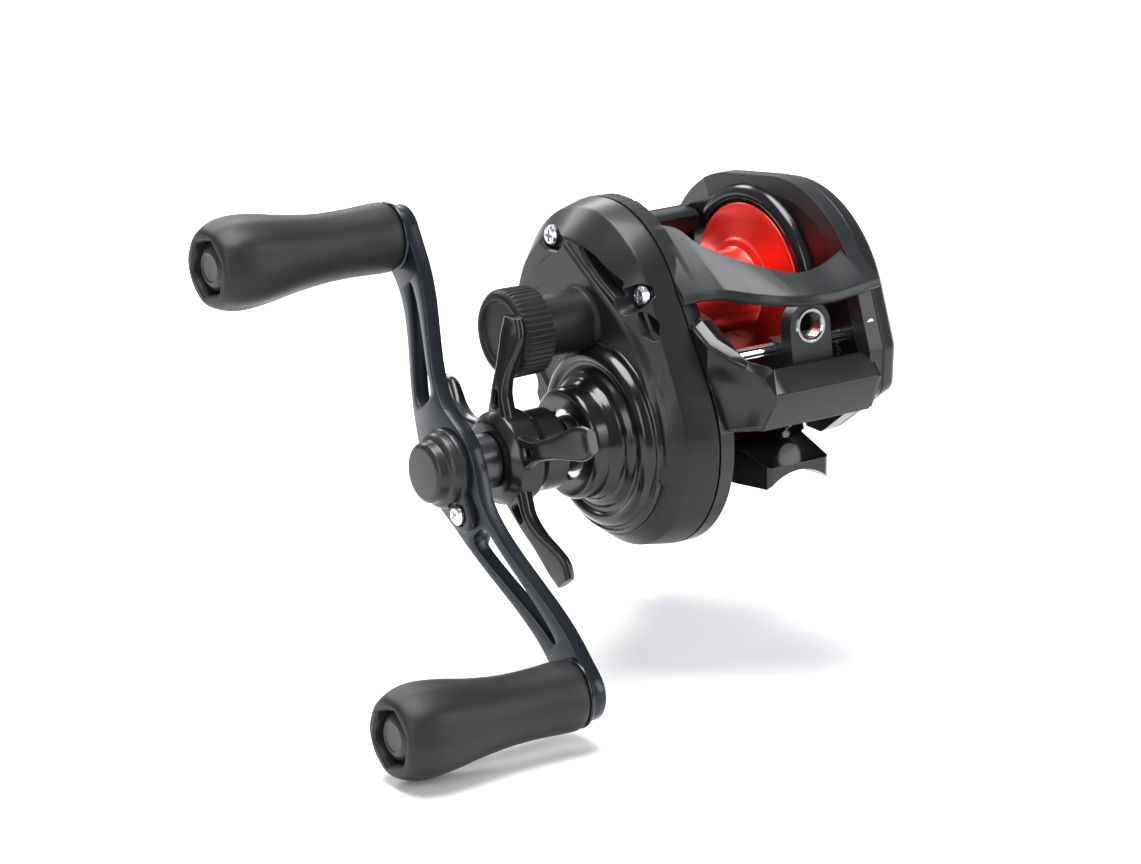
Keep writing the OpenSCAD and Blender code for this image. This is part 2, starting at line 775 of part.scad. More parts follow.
module pinion_gear() {
    teeth_out = gear_out - 0.8;
    // A tooth gap of the pinion faces a tooth of the drive gear
    phase = 180 + mesh_angle + 180 / pinion_teeth;
    color([0.72, 0.58, 0.25]) difference() {
        union() {
            bar(yoke_x + 0.3, pinion_end, pinion_journal_r, spool_axis);
            bar(pinion_flange, yoke_x + 0.4, pinion_neck_r, spool_axis);
            spur(teeth_out, pinion_flange, pinion_teeth, gear_module, spool_axis, phase, pinion_shift);
        }
        bar(teeth_out - 1, pinion_end + 1, shaft_r + run, spool_axis);
        translate([pinion_end - 1.5, spool_axis[0] - 0.6, spool_axis[1] - 3]) cube([2, 1.2, 6]);
    }
}

module clutch_yoke() {
    color([0.2, 0.2, 0.22]) difference() {
        translate([yoke_x - yoke_t, spool_axis[0], spool_axis[1]]) rotate([-drive_lead, 0, 0]) union() {
            translate([0, -yoke_post_r, -2]) cube([yoke_t, 2 * yoke_post_r, 4]);
            rotate([90, 0, 90]) cylinder(h = yoke_t, r = 4.6);
            for (side = [-1, 1])
                translate([0, side * yoke_post_r, 0]) rotate([90, 0, 90]) cylinder(h = yoke_t, r = 2.3);
        }
        bar(yoke_x - 3, yoke_x + 3, pinion_neck_r + 0.25, spool_axis);
        translate([yoke_x - 3, spool_axis[0], spool_axis[1]]) rotate([-drive_lead, 0, 0])
            translate([0, -pinion_neck_r - run, 0]) cube([6, 2 * (pinion_neck_r + run), 8]);
        for (side = [-1, 1])
            bar(yoke_x - 3, yoke_x + 3, yoke_post_d / 2 + run, spool_axis + side * yoke_post_r * across);
    }
}

module yoke_posts() {
    color("silver") for (side = [-1, 1]) {
        place = spool_axis + side * yoke_post_r * across;
        bar(yoke_post_end, wall_in - 0.2, yoke_post_d / 2, place);
        bar(yoke_post_end - 0.4, yoke_post_end, yoke_post_d / 2 + 0.7, place);
    }
}

spring_wire = 0.4;
spring_coils = 5;
module yoke_springs() {
    start = yoke_x - yoke_t - spring_wire / 2 - 0.02;
    pitch = (start - yoke_post_end - spring_wire / 2 - 0.02) / (spring_coils - 1);
    color("silver") for (side = [-1, 1]) for (i = [0:spring_coils - 1]) {
        place = spool_axis + side * yoke_post_r * across;
        translate([start - i * pitch, place[0], place[1]]) rotate([90, 0, 90])
            rotate_extrude() translate([yoke_post_d / 2 + 0.45, 0]) circle(r = spring_wire / 2, $fn = 16);
    }
}

// One ramp of the clutch cam, rising as the angle grows from low_turn
cam_ramp_h = yoke_travel - 0.1;
cam_ramp_turn = 24;
cam_ramp_start = 2.5;
module cam_ramp(low_turn) {
    hull() for (k = [0, 1]) {
        rise = k == 0 ? 0.15 : cam_ramp_h;
        translate([cam_x - cam_t - rise, spool_axis[0], spool_axis[1]])
            rotate([low_turn + k * cam_ramp_turn, 0, 0]) translate([0, 5.2, -0.1])
                cube([rise + 0.1, 2.4, 0.2]);
    }
}

// Plate that the thumb bar turns about the pinion; its two ramps push the yoke outboard
module clutch_cam() {
    color("silver") difference() {
        union() {
            ring(cam_x - cam_t, cam_x, 4.4, 8, spool_axis);
            for (side = [0, 180]) cam_ramp(side + cam_ramp_start);
            // Forked ear for the thumb bar's pin
            translate([cam_x - cam_t, spool_axis[0], spool_axis[1]]) rotate([clutch_start, 0, 0])
                translate([0, 7, -1.9]) cube([cam_t, clutch_pin_r - 5.4, 3.8]);
            // Tail that carries the kick lever
            translate([cam_x - cam_t, spool_axis[0] - 1.8, spool_axis[1] - kick_r - 1.4])
                cube([cam_t, 3.6, 4]);
        }
        bar(cam_x - 2, cam_x + 2, pinion_journal_r + 1.5, spool_axis);
        translate([cam_x - 2, spool_axis[0], spool_axis[1]]) rotate([clutch_start, 0, 0])
            translate([0, clutch_pin_r - 2.2, -1.1]) cube([4, 6, 2.2]);
        bar(cam_x - 2, cam_x + 2, 0.7, spool_axis - [0, kick_r]);
    }
}

module kick_lever() {
    color("gainsboro") union() {
        bar(ratchet_x - 0.9, cam_x - 0.05, 0.7, spool_axis - [0, kick_r]);
        side_plate(ratchet_x - 0.9, ratchet_x - 0.1) polygon([
            spool_axis + [-1.3, -kick_r + 1.2], spool_axis + [1.3, -kick_r + 1.2],
            spool_axis + [1.5, -kick_r - 1.4], spool_axis + [-0.4, -kick_r - 3.4],
            spool_axis + [-1.2, -kick_r - 3.2]
        ]);
    }
}

// Over-centre spring on its own stub behind the cam
clutch_spring_place = [13.2, -9.6];
module clutch_spring() {
    wire = 0.35;
    place = spool_axis + clutch_spring_place;
    color("silver") union() {
        for (i = [0:3]) translate([cam_x - 0.8 - i * wire * 1.05, place[0], place[1]]) rotate([90, 0, 90])
            rotate_extrude() translate([2, 0]) circle(r = wire / 2 + 0.01, $fn = 16);
        for (turn = [110, 170])
            translate([cam_x - 0.8 - (turn - 110) / 60 * 3.15 * wire, place[0], place[1]])
                rotate([turn, 0, 0]) translate([0, 1.9, 0]) rotate([-90, 0, 0])
                    cylinder(h = 3, r = wire / 2, $fn = 16);
    }
}

module thumb_bar() {
    pin = spool_axis + [clutch_pin_y, clutch_pin_z];
    top = spool_height + 10.4;
    color([0.1, 0.11, 0.12]) union() {
        side_plate(wall_in + 0.4, palm_in - 0.4) polygon([
            [flange_r + 0.9, top - 3.6], [flange_r + 1.2, top - 0.8], [flange_r + 2.4, top],
            [flange_r + 5.4, top + 0.1],
            [flange_r + 9.6, top - 2.4], [flange_r + 11.6, top - 6], [flange_r + 11.4, top - 8],
            [flange_r + 9.6, top - 7.6], [flange_r + 8, top - 5], [flange_r + 4.6, top - 3.4]
        ]);
        // Leg through the gear-side plate, with the pin that turns the cam
        side_plate(wall_out + 0.4, wall_in + 0.6) polygon([
            [flange_r + 1.6, top - 3.7], [flange_r + 4.8, top - 3.3], [flange_r + 4.8, top - 1.4],
            [flange_r + 1.6, top - 1.4], [pin[0] - 1.6, pin[1] + 2.6], [pin[0] - 1.6, pin[1] - 1.4],
            [pin[0] + 1.2, pin[1] - 1.4]
        ]);
        bar(cam_x - cam_t - 0.4, wall_out + 0.5, 0.9, pin);
        // Lug that slides in the palm-side plate
        side_plate(palm_in - 0.6, palm_out - 0.4)
            translate([19, top - 3.2]) square([3, 2]);
    }
}

// ---------- Drive train ----------

module drive_shaft() {
    shaft_out = hub_out - 4.6;
    color("silver") union() {
        turned([
            [0, shaft_out], [drive_r - 1.1, shaft_out], [drive_r - 0.8, shaft_out + 0.4],
            [drive_r - 0.8, hub_out + arm_t], [drive_r, hub_out + arm_t], [drive_r, wall_in - 0.4],
            [0, wall_in - 0.4]
        ], drive_axis);
    }
}

module drive_shaft_bushing() {
    color("burlywood") ring(wall_out - 0.3, wall_in - 0.3, drive_r + run, drive_r + 1.5, drive_axis);
}

wind_mesh_angle = 150;
module level_wind_drive_gear() {
    color("ivory") difference() {
        spur(wind_x - wind_t, wind_x, idler_teeth, wind_module, drive_axis, wind_mesh_angle);
        bar(wind_x - 5, wind_x + 5, drive_r, drive_axis);
    }
}

module ratchet() {
    teeth = 12;
    tip = 7.6;
    color("silver") difference() {
        side_plate(ratchet_x - ratchet_t, ratchet_x) translate(drive_axis) polygon([
            for (i = [0:teeth - 1]) for (k = [0, 1])
                (k == 0 ? tip : tip - 1.6) * [cos(i * 360 / teeth + k * 4), sin(i * 360 / teeth + k * 4)]
        ]);
        bar(ratchet_x - 5, ratchet_x + 5, drive_r, drive_axis);
    }
}

drag_recess_r = 14.5;
drag_floor = gear_x - 1.4;
carbon_t = 0.5;
steel_t = 0.5;
module drive_gear() {
    color([0.72, 0.58, 0.25]) difference() {
        union() {
            spur(gear_out, gear_x, drive_teeth, gear_module, drive_axis, mesh_angle, -pinion_shift);
            bar(gear_x - 0.1, ratchet_x - ratchet_t, 5, drive_axis);
        }
        bar(gear_out - 1, drag_floor, drag_recess_r, drive_axis);
        bar(gear_x - 3, gear_x + 5, drive_r, drive_axis);
    }
}

module carbon_drag_washers() {
    color([0.1, 0.1, 0.1]) for (i = [0:2]) {
        x = drag_floor - i * (carbon_t + steel_t);
        ring(x - carbon_t, x, drive_r + 1, drag_recess_r - 0.2, drive_axis);
    }
}

module metal_drag_washers() {
    color("silver") for (i = [0:2]) {
        x = drag_floor - carbon_t - i * (carbon_t + steel_t);
        thick = i == 2 ? 1.1 : steel_t;
        ring(x - thick, x, drive_r, i == 2 ? bulge_r - 4.6 : drag_recess_r - 0.3, drive_axis);
    }
}

sleeve_in = drag_floor - 3 * carbon_t - 2 * steel_t - 1.1;
module one_way_sleeve() {
    color("silver") union() {
        ring(neck_end - 0.6, sleeve_in, drive_r, sleeve_r, drive_axis);
        ring(sleeve_in - 0.8, sleeve_in, drive_r, sleeve_r + 2, drive_axis);
    }
}

module one_way_bearing() {
    rollers = 8;
    color("silver") difference() {
        ring(neck_end + 0.85, bulge_face + cover_t - 0.2, sleeve_r + run, roller_r, drive_axis);
        for (i = [0:rollers - 1])
            bar(neck_end, neck_end + 1.5, 0.8,
                drive_axis + (sleeve_r + 1.4) * [cos(i * 360 / rollers), sin(i * 360 / rollers)]);
    }
}

module spring_washers() {
    color("silver") for (i = [0:1]) {
        x = neck_end - 0.6 - i * 1.1;
        turned([
            [drive_r, x - (i == 0 ? 0.5 : 0)], [drive_r, x - 0.5 - (i == 0 ? 0.5 : 0)],
            [drive_r + 2, x - 0.5 - (i == 0 ? 0 : 0.5)], [drive_r + 2, x - (i == 0 ? 0 : 0.5)]
        ], drive_axis);
    }
}

// ---------- Star drag ----------

star_nut_x = neck_end - 3.1;
star_nut_t = 3.6;
star_nut_r = 5.4;
star_hub_r = 8.4;

module star_nut() {
    color("silver") difference() {
        translate([star_nut_x - star_nut_t, drive_axis[0], drive_axis[1]]) rotate([90, 0, 90])
            cylinder(h = star_nut_t, r = star_nut_r, $fn = 6);
        bar(star_nut_x - 10, star_nut_x + 2, drive_r + run, drive_axis);
    }
}

// Plan of one arm, [radius, half width]
star_arm_plan = [[6, 3.4], [11, 1.9], [16, 1.9], [21, 2.7], [24.4, 2.2], [25, 1.2]];
star_tilt = 16;
module star_drag() {
    reach = star_r / 25;
    color([0.08, 0.08, 0.09]) difference() {
        union() {
            turned([
                [drive_r + run, star_plane - 3.4], [star_hub_r - 1.6, star_plane - 3.4],
                [star_hub_r, star_plane - 1.8], [star_hub_r, star_plane + 3],
                [star_hub_r - 1, star_plane + 4.4],
                [star_hub_r - 1, star_nut_x], [drive_r + run, star_nut_x]
            ], drive_axis);
            intersection() {
                side_plate(star_plane - 5, star_plane + 5) translate(drive_axis)
                    for (i = [0:star_arms - 1]) rotate(star_tilt + i * 360 / star_arms) polygon(concat(
                        [for (p = star_arm_plan) [p[0] * reach, p[1]]],
                        [for (k = [len(star_arm_plan) - 1:-1:0]) [star_arm_plan[k][0] * reach,
                            -star_arm_plan[k][1]]]
                    ));
                turned([
                    [0, star_plane - 1.2], [star_r * 0.62, star_plane - 1.2],
                    [star_r * 0.86, star_plane - 0.6],
                    [star_r + 1, star_plane + 1.4], [star_r + 1, star_plane + 3.5],
                    [star_r * 0.6, star_plane + 1.5],
                    [star_r * 0.4, star_plane + 2.4], [0, star_plane + 2.4]
                ], drive_axis);
            }
        }
        translate([star_nut_x - star_nut_t, drive_axis[0], drive_axis[1]]) rotate([90, 0, 90])
            cylinder(h = star_nut_t + 5, r = star_nut_r + 0.02, $fn = 6);
        bar(star_plane - 10, neck_end, drive_r + run, drive_axis);
    }
}

// ---------- Handle ----------

module handle_spacer() {
    color("silver") ring(hub_out + arm_t, star_plane - 3.4 - gap, drive_r, drive_r + 2, drive_axis);
}

module handle_plan() {
    end = handle_len / 2;
    // One quarter of the outline, from the hub to the tip
    quarter = concat(
        [for (turn = [90:-7.5:52.5]) 8.4 * [cos(turn), sin(turn)]],
        [[12, 4.9], [24, 4], [end - 6, 4.3]],
        [for (turn = [112.5:-7.5:0]) [end, 0] + 5.3 * [cos(turn), sin(turn)]]
    );
    last = len(quarter) - 1;
    polygon(concat(
        quarter,
        [for (k = [last - 1:-1:0]) [quarter[k][0], -quarter[k][1]]],
        [for (k = [1:1:last]) -quarter[k]],
        [for (k = [last - 1:-1:1]) [-quarter[k][0], quarter[k][1]]]
    ));
}

module handle_slots() {
    end = handle_len / 2;
    for (side = [-1, 1]) polygon([
        [side * 13.5, 1.9], [side * 15, 2.5], [side * (end - 10), 1.1], [side * (end - 9.2), 0],
        [side * (end - 10), -1.1], [side * 15, -2.5], [side * 13.5, -1.9]
    ]);
}

// The arm lies along Z before it is tilted
module handle_arm() {
    end = handle_len / 2;
    hub_half = 9;
    sweep_end = end - 8;
    color([0.14, 0.15, 0.18]) on_handle() difference() {
        intersection() {
            translate([hub_out - 1, 0, 0]) rotate([0, 90, 0])
                linear_extrude(arm_sweep + arm_t + 2) handle_plan();
            // Bent band, seen from the side
            translate([0, 12, 0]) rotate([90, 0, 0]) linear_extrude(24) polygon([
                [arm_end_out, end + 8], [arm_end_out, sweep_end], [hub_out, hub_half], [hub_out, -hub_half],
                [arm_end_out, -sweep_end], [arm_end_out, -end - 8], [arm_end_out + arm_t, -end - 8],
                [arm_end_out + arm_t, -sweep_end], [hub_out + arm_t, -hub_half],
                [hub_out + arm_t, hub_half],
                [arm_end_out + arm_t, sweep_end], [arm_end_out + arm_t, end + 8]
            ]);
        }
        translate([hub_out - 2, 0, 0]) rotate([0, 90, 0]) linear_extrude(arm_sweep + arm_t + 4)
            handle_slots();
        translate([hub_out - 2, 0, 0]) rotate([0, 90, 0]) cylinder(h = 8, r = drive_r - 0.8);
        for (side = [-1, 1])
            translate([arm_end_out - 2, 0, side * end]) rotate([0, 90, 0]) cylinder(h = 8, r = post_r);
        translate([hub_out - 2, 0, -cap_screw_at]) rotate([0, 90, 0]) cylinder(h = 8, r = 0.9);
    }
}

handle_nut_t = 2.6;
module handle_nut() {
    color("silver") on_handle() difference() {
        translate([hub_out - handle_nut_t, 0, 0]) rotate([0, 90, 0])
            cylinder(h = handle_nut_t, r = 5, $fn = 6);
        translate([hub_out - 6, 0, 0]) rotate([0, 90, 0]) cylinder(h = 8, r = drive_r - 0.8);
    }
}

cap_plate_t = 1.4;
cap_screw_at = 8.8;
cap_out = hub_out - 5.4;
module nut_cap() {
    color([0.1, 0.1, 0.11]) on_handle() difference() {
        union() {
            translate([hub_out - cap_plate_t, 0, 0]) rotate([0, 90, 0])
                linear_extrude(cap_plate_t - 0.02) union() {
                circle(r = 7.2);
                translate([cap_screw_at, 0]) circle(r = 3);
                polygon([[1.5, 7], [cap_screw_at + 1, 2.8], [cap_screw_at + 1, -2.8], [1.5, -7]]);
            }
            translate([cap_out, 0, 0]) rotate([0, 90, 0]) rotate_extrude()
                polygon([[0, 0], [4.6, 0], [5.4, 0.8], [5.4, 2.2], [6.6, 2.6], [6.8, 4.4], [0, 4.4]]);
        }
        translate([hub_out - handle_nut_t - 0.02, 0, 0]) rotate([0, 90, 0])
            cylinder(h = 8, r = 5.02, $fn = 6);
        translate([hub_out - 4.8, 0, 0]) rotate([0, 90, 0]) cylinder(h = 8, r = drive_r - 0.7);
        translate([hub_out - 4, 0, -cap_screw_at]) rotate([0, 90, 0]) cylinder(h = 8, r = 1);
    }
}

module nut_cap_screw() {
    color("silver") on_handle() screw(hub_out - cap_plate_t, [0, -cap_screw_at], 0.88, 1.75, arm_t + 0.8);
}

module knob_posts() {
    color("silver") for (side = [-1, 1]) {
        axis = knob_axis(side);
        turned([
            [0, knob_out + 8.4], [post_r, knob_out + 8.4], [post_r, arm_end_out - 0.8],
            [post_r + 3.6, arm_end_out - 0.8],
            [post_r + 3.6, arm_end_out], [post_r, arm_end_out], [post_r, arm_end_out + arm_t + 0.3],
            [0, arm_end_out + arm_t + 0.3]
        ], axis);
    }
}

module knob(side) {
    r = knob_d / 2;
    axis = knob_axis(side);
    color([0.11, 0.12, 0.13]) difference() {
        turned([
            [0, knob_in], [r * 0.73, knob_in], [r * 0.76, knob_in - 1], [r * 0.745, knob_in - 5],
            [r * 0.73, knob_in - knob_len * 0.27], [r * 0.75, knob_in - knob_len * 0.4],
            [r * 0.83, knob_in - knob_len * 0.55], [r * 0.94, knob_in - knob_len * 0.69],
            [r, knob_in - knob_len * 0.81], [r * 0.97, knob_out + 4], [r * 0.86, knob_out + 1.2],
            [r * 0.76, knob_out], [0, knob_out]
        ], axis);
        bar(knob_out - 1, knob_out + 6, 4.8, axis);
        bar(knob_out, knob_in + 1, post_r + 0.4, axis);
        bar(knob_in - bushing_w, knob_in + 1, bushing_r, axis);
        bar(knob_out + 5, knob_out + 8.5 + bushing_w, bushing_r, axis);
    }
}

bushing_w = 4;
module knob_cap(side) {
    axis = knob_axis(side);
    color([0.09, 0.09, 0.1]) turned([
        [0, knob_out + 0.6], [2.8, knob_out + 0.9], [4, knob_out + 1.7], [4.75, knob_out + 2.6],
        [4.75, knob_out + 5.9], [3.9, knob_out + 5.9], [3.9, knob_out + 3.4], [0, knob_out + 3.4]
    ], axis);
}

module knob_bushings(side) {
    axis = knob_axis(side);
    color("burlywood") {
        ring(knob_in - bushing_w, knob_in, post_r + run, bushing_r, axis);
        ring(knob_out + 8.5, knob_out + 8.5 + bushing_w, post_r + run, bushing_r, axis);
    }
}

module upper_knob() knob(1);
module lower_knob() knob(-1);
module upper_knob_cap() knob_cap(1);
module lower_knob_cap() knob_cap(-1);
module upper_knob_bushings() knob_bushings(1);
module lower_knob_bushings() knob_bushings(-1);

module knob_screws() {
    color("silver") for (side = [-1, 1]) {
        axis = knob_axis(side);
        turned([
            [0, knob_out + 6.6], [2.6, knob_out + 6.6], [3.1, knob_out + 7], [3.1, knob_out + 8.38],
            [0, knob_out + 8.38]
        ], axis);
    }
}

// ---------- Level wind ----------

module worm_shaft() {
    turns = 5;
    reach = spool_w - 5;
    color("silver") difference() {
        bar(wind_x - wind_t - 0.6, palm_out - 0.4, worm_r, worm_axis);
        // Crossing grooves
        for (i = [0:turns]) for (lean = [-1, 1])
            translate([-reach / 2 + i * reach / turns, worm_axis[0], worm_axis[1]])
                rotate([0, 0, lean * 32]) ring(-0.4, 0.4, worm_r - 0.5, worm_r + 3, [0, 0]);
    }
}

module worm_gear() {
    phase = wind_mesh_angle + 180 + 180 / worm_teeth;
    color("ivory") difference() {
        spur(wind_x - wind_t, wind_x, worm_teeth, wind_module, worm_axis, phase);
        bar(wind_x - 5, wind_x + 5, worm_r, worm_axis);
    }
}

pawl_dir = 221;
module worm_tube() {
    color("silver") difference() {
        ring(wall_out, palm_out - 0.1, worm_r + run, tube_r, worm_axis);
        translate([0, worm_axis[0], worm_axis[1]]) rotate([pawl_dir, 0, 0])
            translate([wall_in + 1, 0, -1.6]) cube([palm_in - wall_in - 2, 6, 3.2]);
    }
}

module guide_rod() {
    color("gainsboro") bar(wall_out + 1, palm_out - 1, rod_r, rod_axis);
}

guide_w = 8.8;
guide_lean = 8;
module line_guide() {
    pawl = [cos(pawl_dir), sin(pawl_dir)];
    foot = worm_axis + 5.4 * pawl;
    color([0.2, 0.21, 0.22]) difference() {
        union() {
            // Face plate with a round top, leaning back
            translate([guide_x, ring_centre[0], ring_centre[1]]) rotate([-guide_lean, 0, 0]) {
                rotate([-90, 0, 0]) cylinder(h = 3, r = guide_w / 2);
                translate([-guide_w / 2, 0, -6.6]) cube([guide_w, 3, 6.6]);
            }
            // Body on the rod and the guard tube
            side_plate(guide_x - guide_w / 2, guide_x + guide_w / 2) polygon([
                rod_axis + [-3.6, 1.6], rod_axis + [1.6, 1.6], rod_axis + [2, -1.6], worm_axis + [1.6, 4.4],
                worm_axis + [4.4, 1.6], worm_axis + [4.4, -1.6], worm_axis + [1.6, -4.4],
                worm_axis + [-1.6, -4.4],
                worm_axis + [-4.4, -2], rod_axis + [-3.4, -3.4]
            ]);
            bar(guide_x - 2.6, guide_x + 2.6, 2.6, foot);
        }
        bar(guide_x - 20, guide_x + 20, rod_r + run, rod_axis);
        bar(guide_x - 20, guide_x + 20, tube_r + run, worm_axis);
        translate([guide_x, ring_centre[0], ring_centre[1]]) rotate([-guide_lean, 0, 0]) {
            translate([0, -1, 0]) rotate([-90, 0, 0]) cylinder(h = 3.4, r = ring_r + 0.95);
            translate([0, -1, 0]) rotate([-90, 0, 0]) cylinder(h = 12, r = ring_r);
        }
        translate([guide_x, worm_axis[0], worm_axis[1]]) rotate([pawl_dir, 0, 0])
            rotate([-90, 0, 0]) cylinder(h = 12, r = 1.3 + run);
    }
}

module line_ring() {
    color("gainsboro") translate([guide_x, ring_centre[0], ring_centre[1]]) rotate([-guide_lean, 0, 0])
        rotate([-90, 0, 0]) rotate_extrude() polygon([
            [ring_r, 0], [ring_r + 0.3, -0.35], [ring_r + 0.7, -0.35], [ring_r + 0.95, 0],
            [ring_r + 0.95, 2.35], [ring_r, 2.35]
        ]);
}

module line_pawl() {
    color("gainsboro") translate([guide_x, worm_axis[0], worm_axis[1]]) rotate([pawl_dir, 0, 0]) {
        rotate([-90, 0, 0]) translate([0, 0, worm_r + 0.1]) cylinder(h = 6.2, r = 1.3);
        rotate([-90, 0, 0]) translate([0, 0, 8.1]) cylinder(h = 0.9, r = 2.4);
    }
}

frame();
front_hood();
gear_side_cover();
palm_side_cover();
cover_screws();
palm_cover_screws();
hood_screws();
spool();
spool_shaft();
spool_pin();
brake_rotor();
palm_spool_bearing();
gear_spool_bearing();
pinion_bearing();
magnet_plate();
brake_magnets();
brake_dial();
tension_knob();
tension_shim();
tension_o_ring();
pinion_gear();
clutch_yoke();
yoke_posts();
yoke_springs();
clutch_cam();
kick_lever();
clutch_spring();
thumb_bar();
drive_shaft();
drive_shaft_bushing();
level_wind_drive_gear();
ratchet();
drive_gear();
carbon_drag_washers();
metal_drag_washers();
one_way_sleeve();
one_way_bearing();
spring_washers();
star_nut();
star_drag();
handle_spacer();
handle_arm();
handle_nut();
nut_cap();
nut_cap_screw();
knob_posts();
upper_knob();
upper_knob_cap();
upper_knob_bushings();
lower_knob();
lower_knob_cap();
lower_knob_bushings();
knob_screws();
worm_shaft();
worm_gear();
worm_tube();
guide_rod();
line_guide();
line_ring();
line_pawl();
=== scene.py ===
"""Looks for a low-profile baitcasting reel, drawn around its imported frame."""
import math

import bmesh
import bpy
from mathutils import Matrix, Vector


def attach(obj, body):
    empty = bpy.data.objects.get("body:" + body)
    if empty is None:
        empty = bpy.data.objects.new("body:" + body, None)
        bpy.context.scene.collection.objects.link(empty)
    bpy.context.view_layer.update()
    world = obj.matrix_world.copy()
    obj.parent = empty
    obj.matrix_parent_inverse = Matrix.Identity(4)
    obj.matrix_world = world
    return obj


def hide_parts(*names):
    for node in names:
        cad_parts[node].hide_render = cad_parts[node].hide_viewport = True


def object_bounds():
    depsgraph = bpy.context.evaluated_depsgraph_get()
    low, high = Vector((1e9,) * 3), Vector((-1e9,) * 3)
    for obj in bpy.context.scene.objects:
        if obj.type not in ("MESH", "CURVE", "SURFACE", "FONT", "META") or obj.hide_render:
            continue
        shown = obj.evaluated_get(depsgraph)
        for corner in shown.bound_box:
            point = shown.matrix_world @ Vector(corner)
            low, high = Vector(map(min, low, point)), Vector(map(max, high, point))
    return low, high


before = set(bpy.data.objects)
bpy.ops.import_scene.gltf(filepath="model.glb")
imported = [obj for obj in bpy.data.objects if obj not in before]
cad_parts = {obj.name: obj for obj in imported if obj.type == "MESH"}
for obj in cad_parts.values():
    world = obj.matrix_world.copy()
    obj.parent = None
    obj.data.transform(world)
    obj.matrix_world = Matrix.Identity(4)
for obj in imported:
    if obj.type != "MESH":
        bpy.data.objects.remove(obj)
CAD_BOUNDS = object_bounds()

bl_info = {
    "name": "Baitcasting reel looks",
    "version": (1, 0, 0),
    "blender": (4, 5, 0),
    "location": "3D View > Sidebar > Reel",
    "description": "Draws the covers, hood, handle, star and finishes of a low-profile reel",
    "category": "Object",
}

MM = 0.001

# Axes along X, each as (Y, Z) in millimetres
SPOOL_AXIS = (0.0, 24.7)
DRIVE_LEAD = math.radians(20)
GEAR_CENTRES = 21.2
DRIVE_AXIS = (
    SPOOL_AXIS[0] - GEAR_CENTRES * math.sin(DRIVE_LEAD),
    SPOOL_AXIS[1] - GEAR_CENTRES * math.cos(DRIVE_LEAD),
)
HANDLE_TILT = math.radians(40)
HANDLE_HALF = 45.0

# Stations along X, in millimetres
STAR_PLANE = -47.1
ARM_END = -51.8
HUB_OUT = -59.0
ARM_T = 2.8
KNOB_IN = -52.8
KNOB_OUT = -90.0
TENSION_OUT = -43.2
TENSION_IN = -36.6
GEAR_RIM = -15.56
PALM_RIM = 15.56

# Lobes of the two side outlines, each as (Y, Z, radius)
GEAR_LOBES = [(DRIVE_AXIS[0], DRIVE_AXIS[1], 21.5), (5.0, 22.0, 22.3)]
PALM_LOBES = [(-8.0, 22.5, 24.0), (-31.0, 20.0, 3.5), (-31.3, 14.0, 3.0), (5.0, 22.0, 22.3)]
PALM_FLOOR = 2.0
LEAST_CORNER = 0.5
OUTLINE_SIDES = 180

# Seats of the cover screws, each as (Y, Z)
TOP_SCREW = (-12.2, 31.1)
REAR_SCREW = (17.4, 8.5)
PALM_SCREWS = ((-25.0, 18.7), (17.0, 11.7))

STAR_ARMS = 5
STAR_LEAD = math.radians(16)


# ---------- Shader expressions ----------


class Field:
    """One socket of a finish, which Python expressions can use."""

    def __init__(self, finish, socket):
        self.finish = finish
        self.socket = socket

    def math(self, operation, *operands):
        sockets = dict(enumerate(operands))
        return self.finish.node("ShaderNodeMath", {"operation": operation}, sockets)

    def __add__(self, other):
        return self.math("ADD", self, other)

    def __radd__(self, other):
        return self.math("ADD", other, self)

    def __sub__(self, other):
        return self.math("SUBTRACT", self, other)

    def __rsub__(self, other):
        return self.math("SUBTRACT", other, self)

    def __mul__(self, other):
        return self.math("MULTIPLY", self, other)

    def __rmul__(self, other):
        return self.math("MULTIPLY", other, self)

    def __pow__(self, other):
        return self.math("POWER", self, other)

    def clamped(self):
        return self.math("MINIMUM", self.math("MAXIMUM", self, 0.0), 1.0)


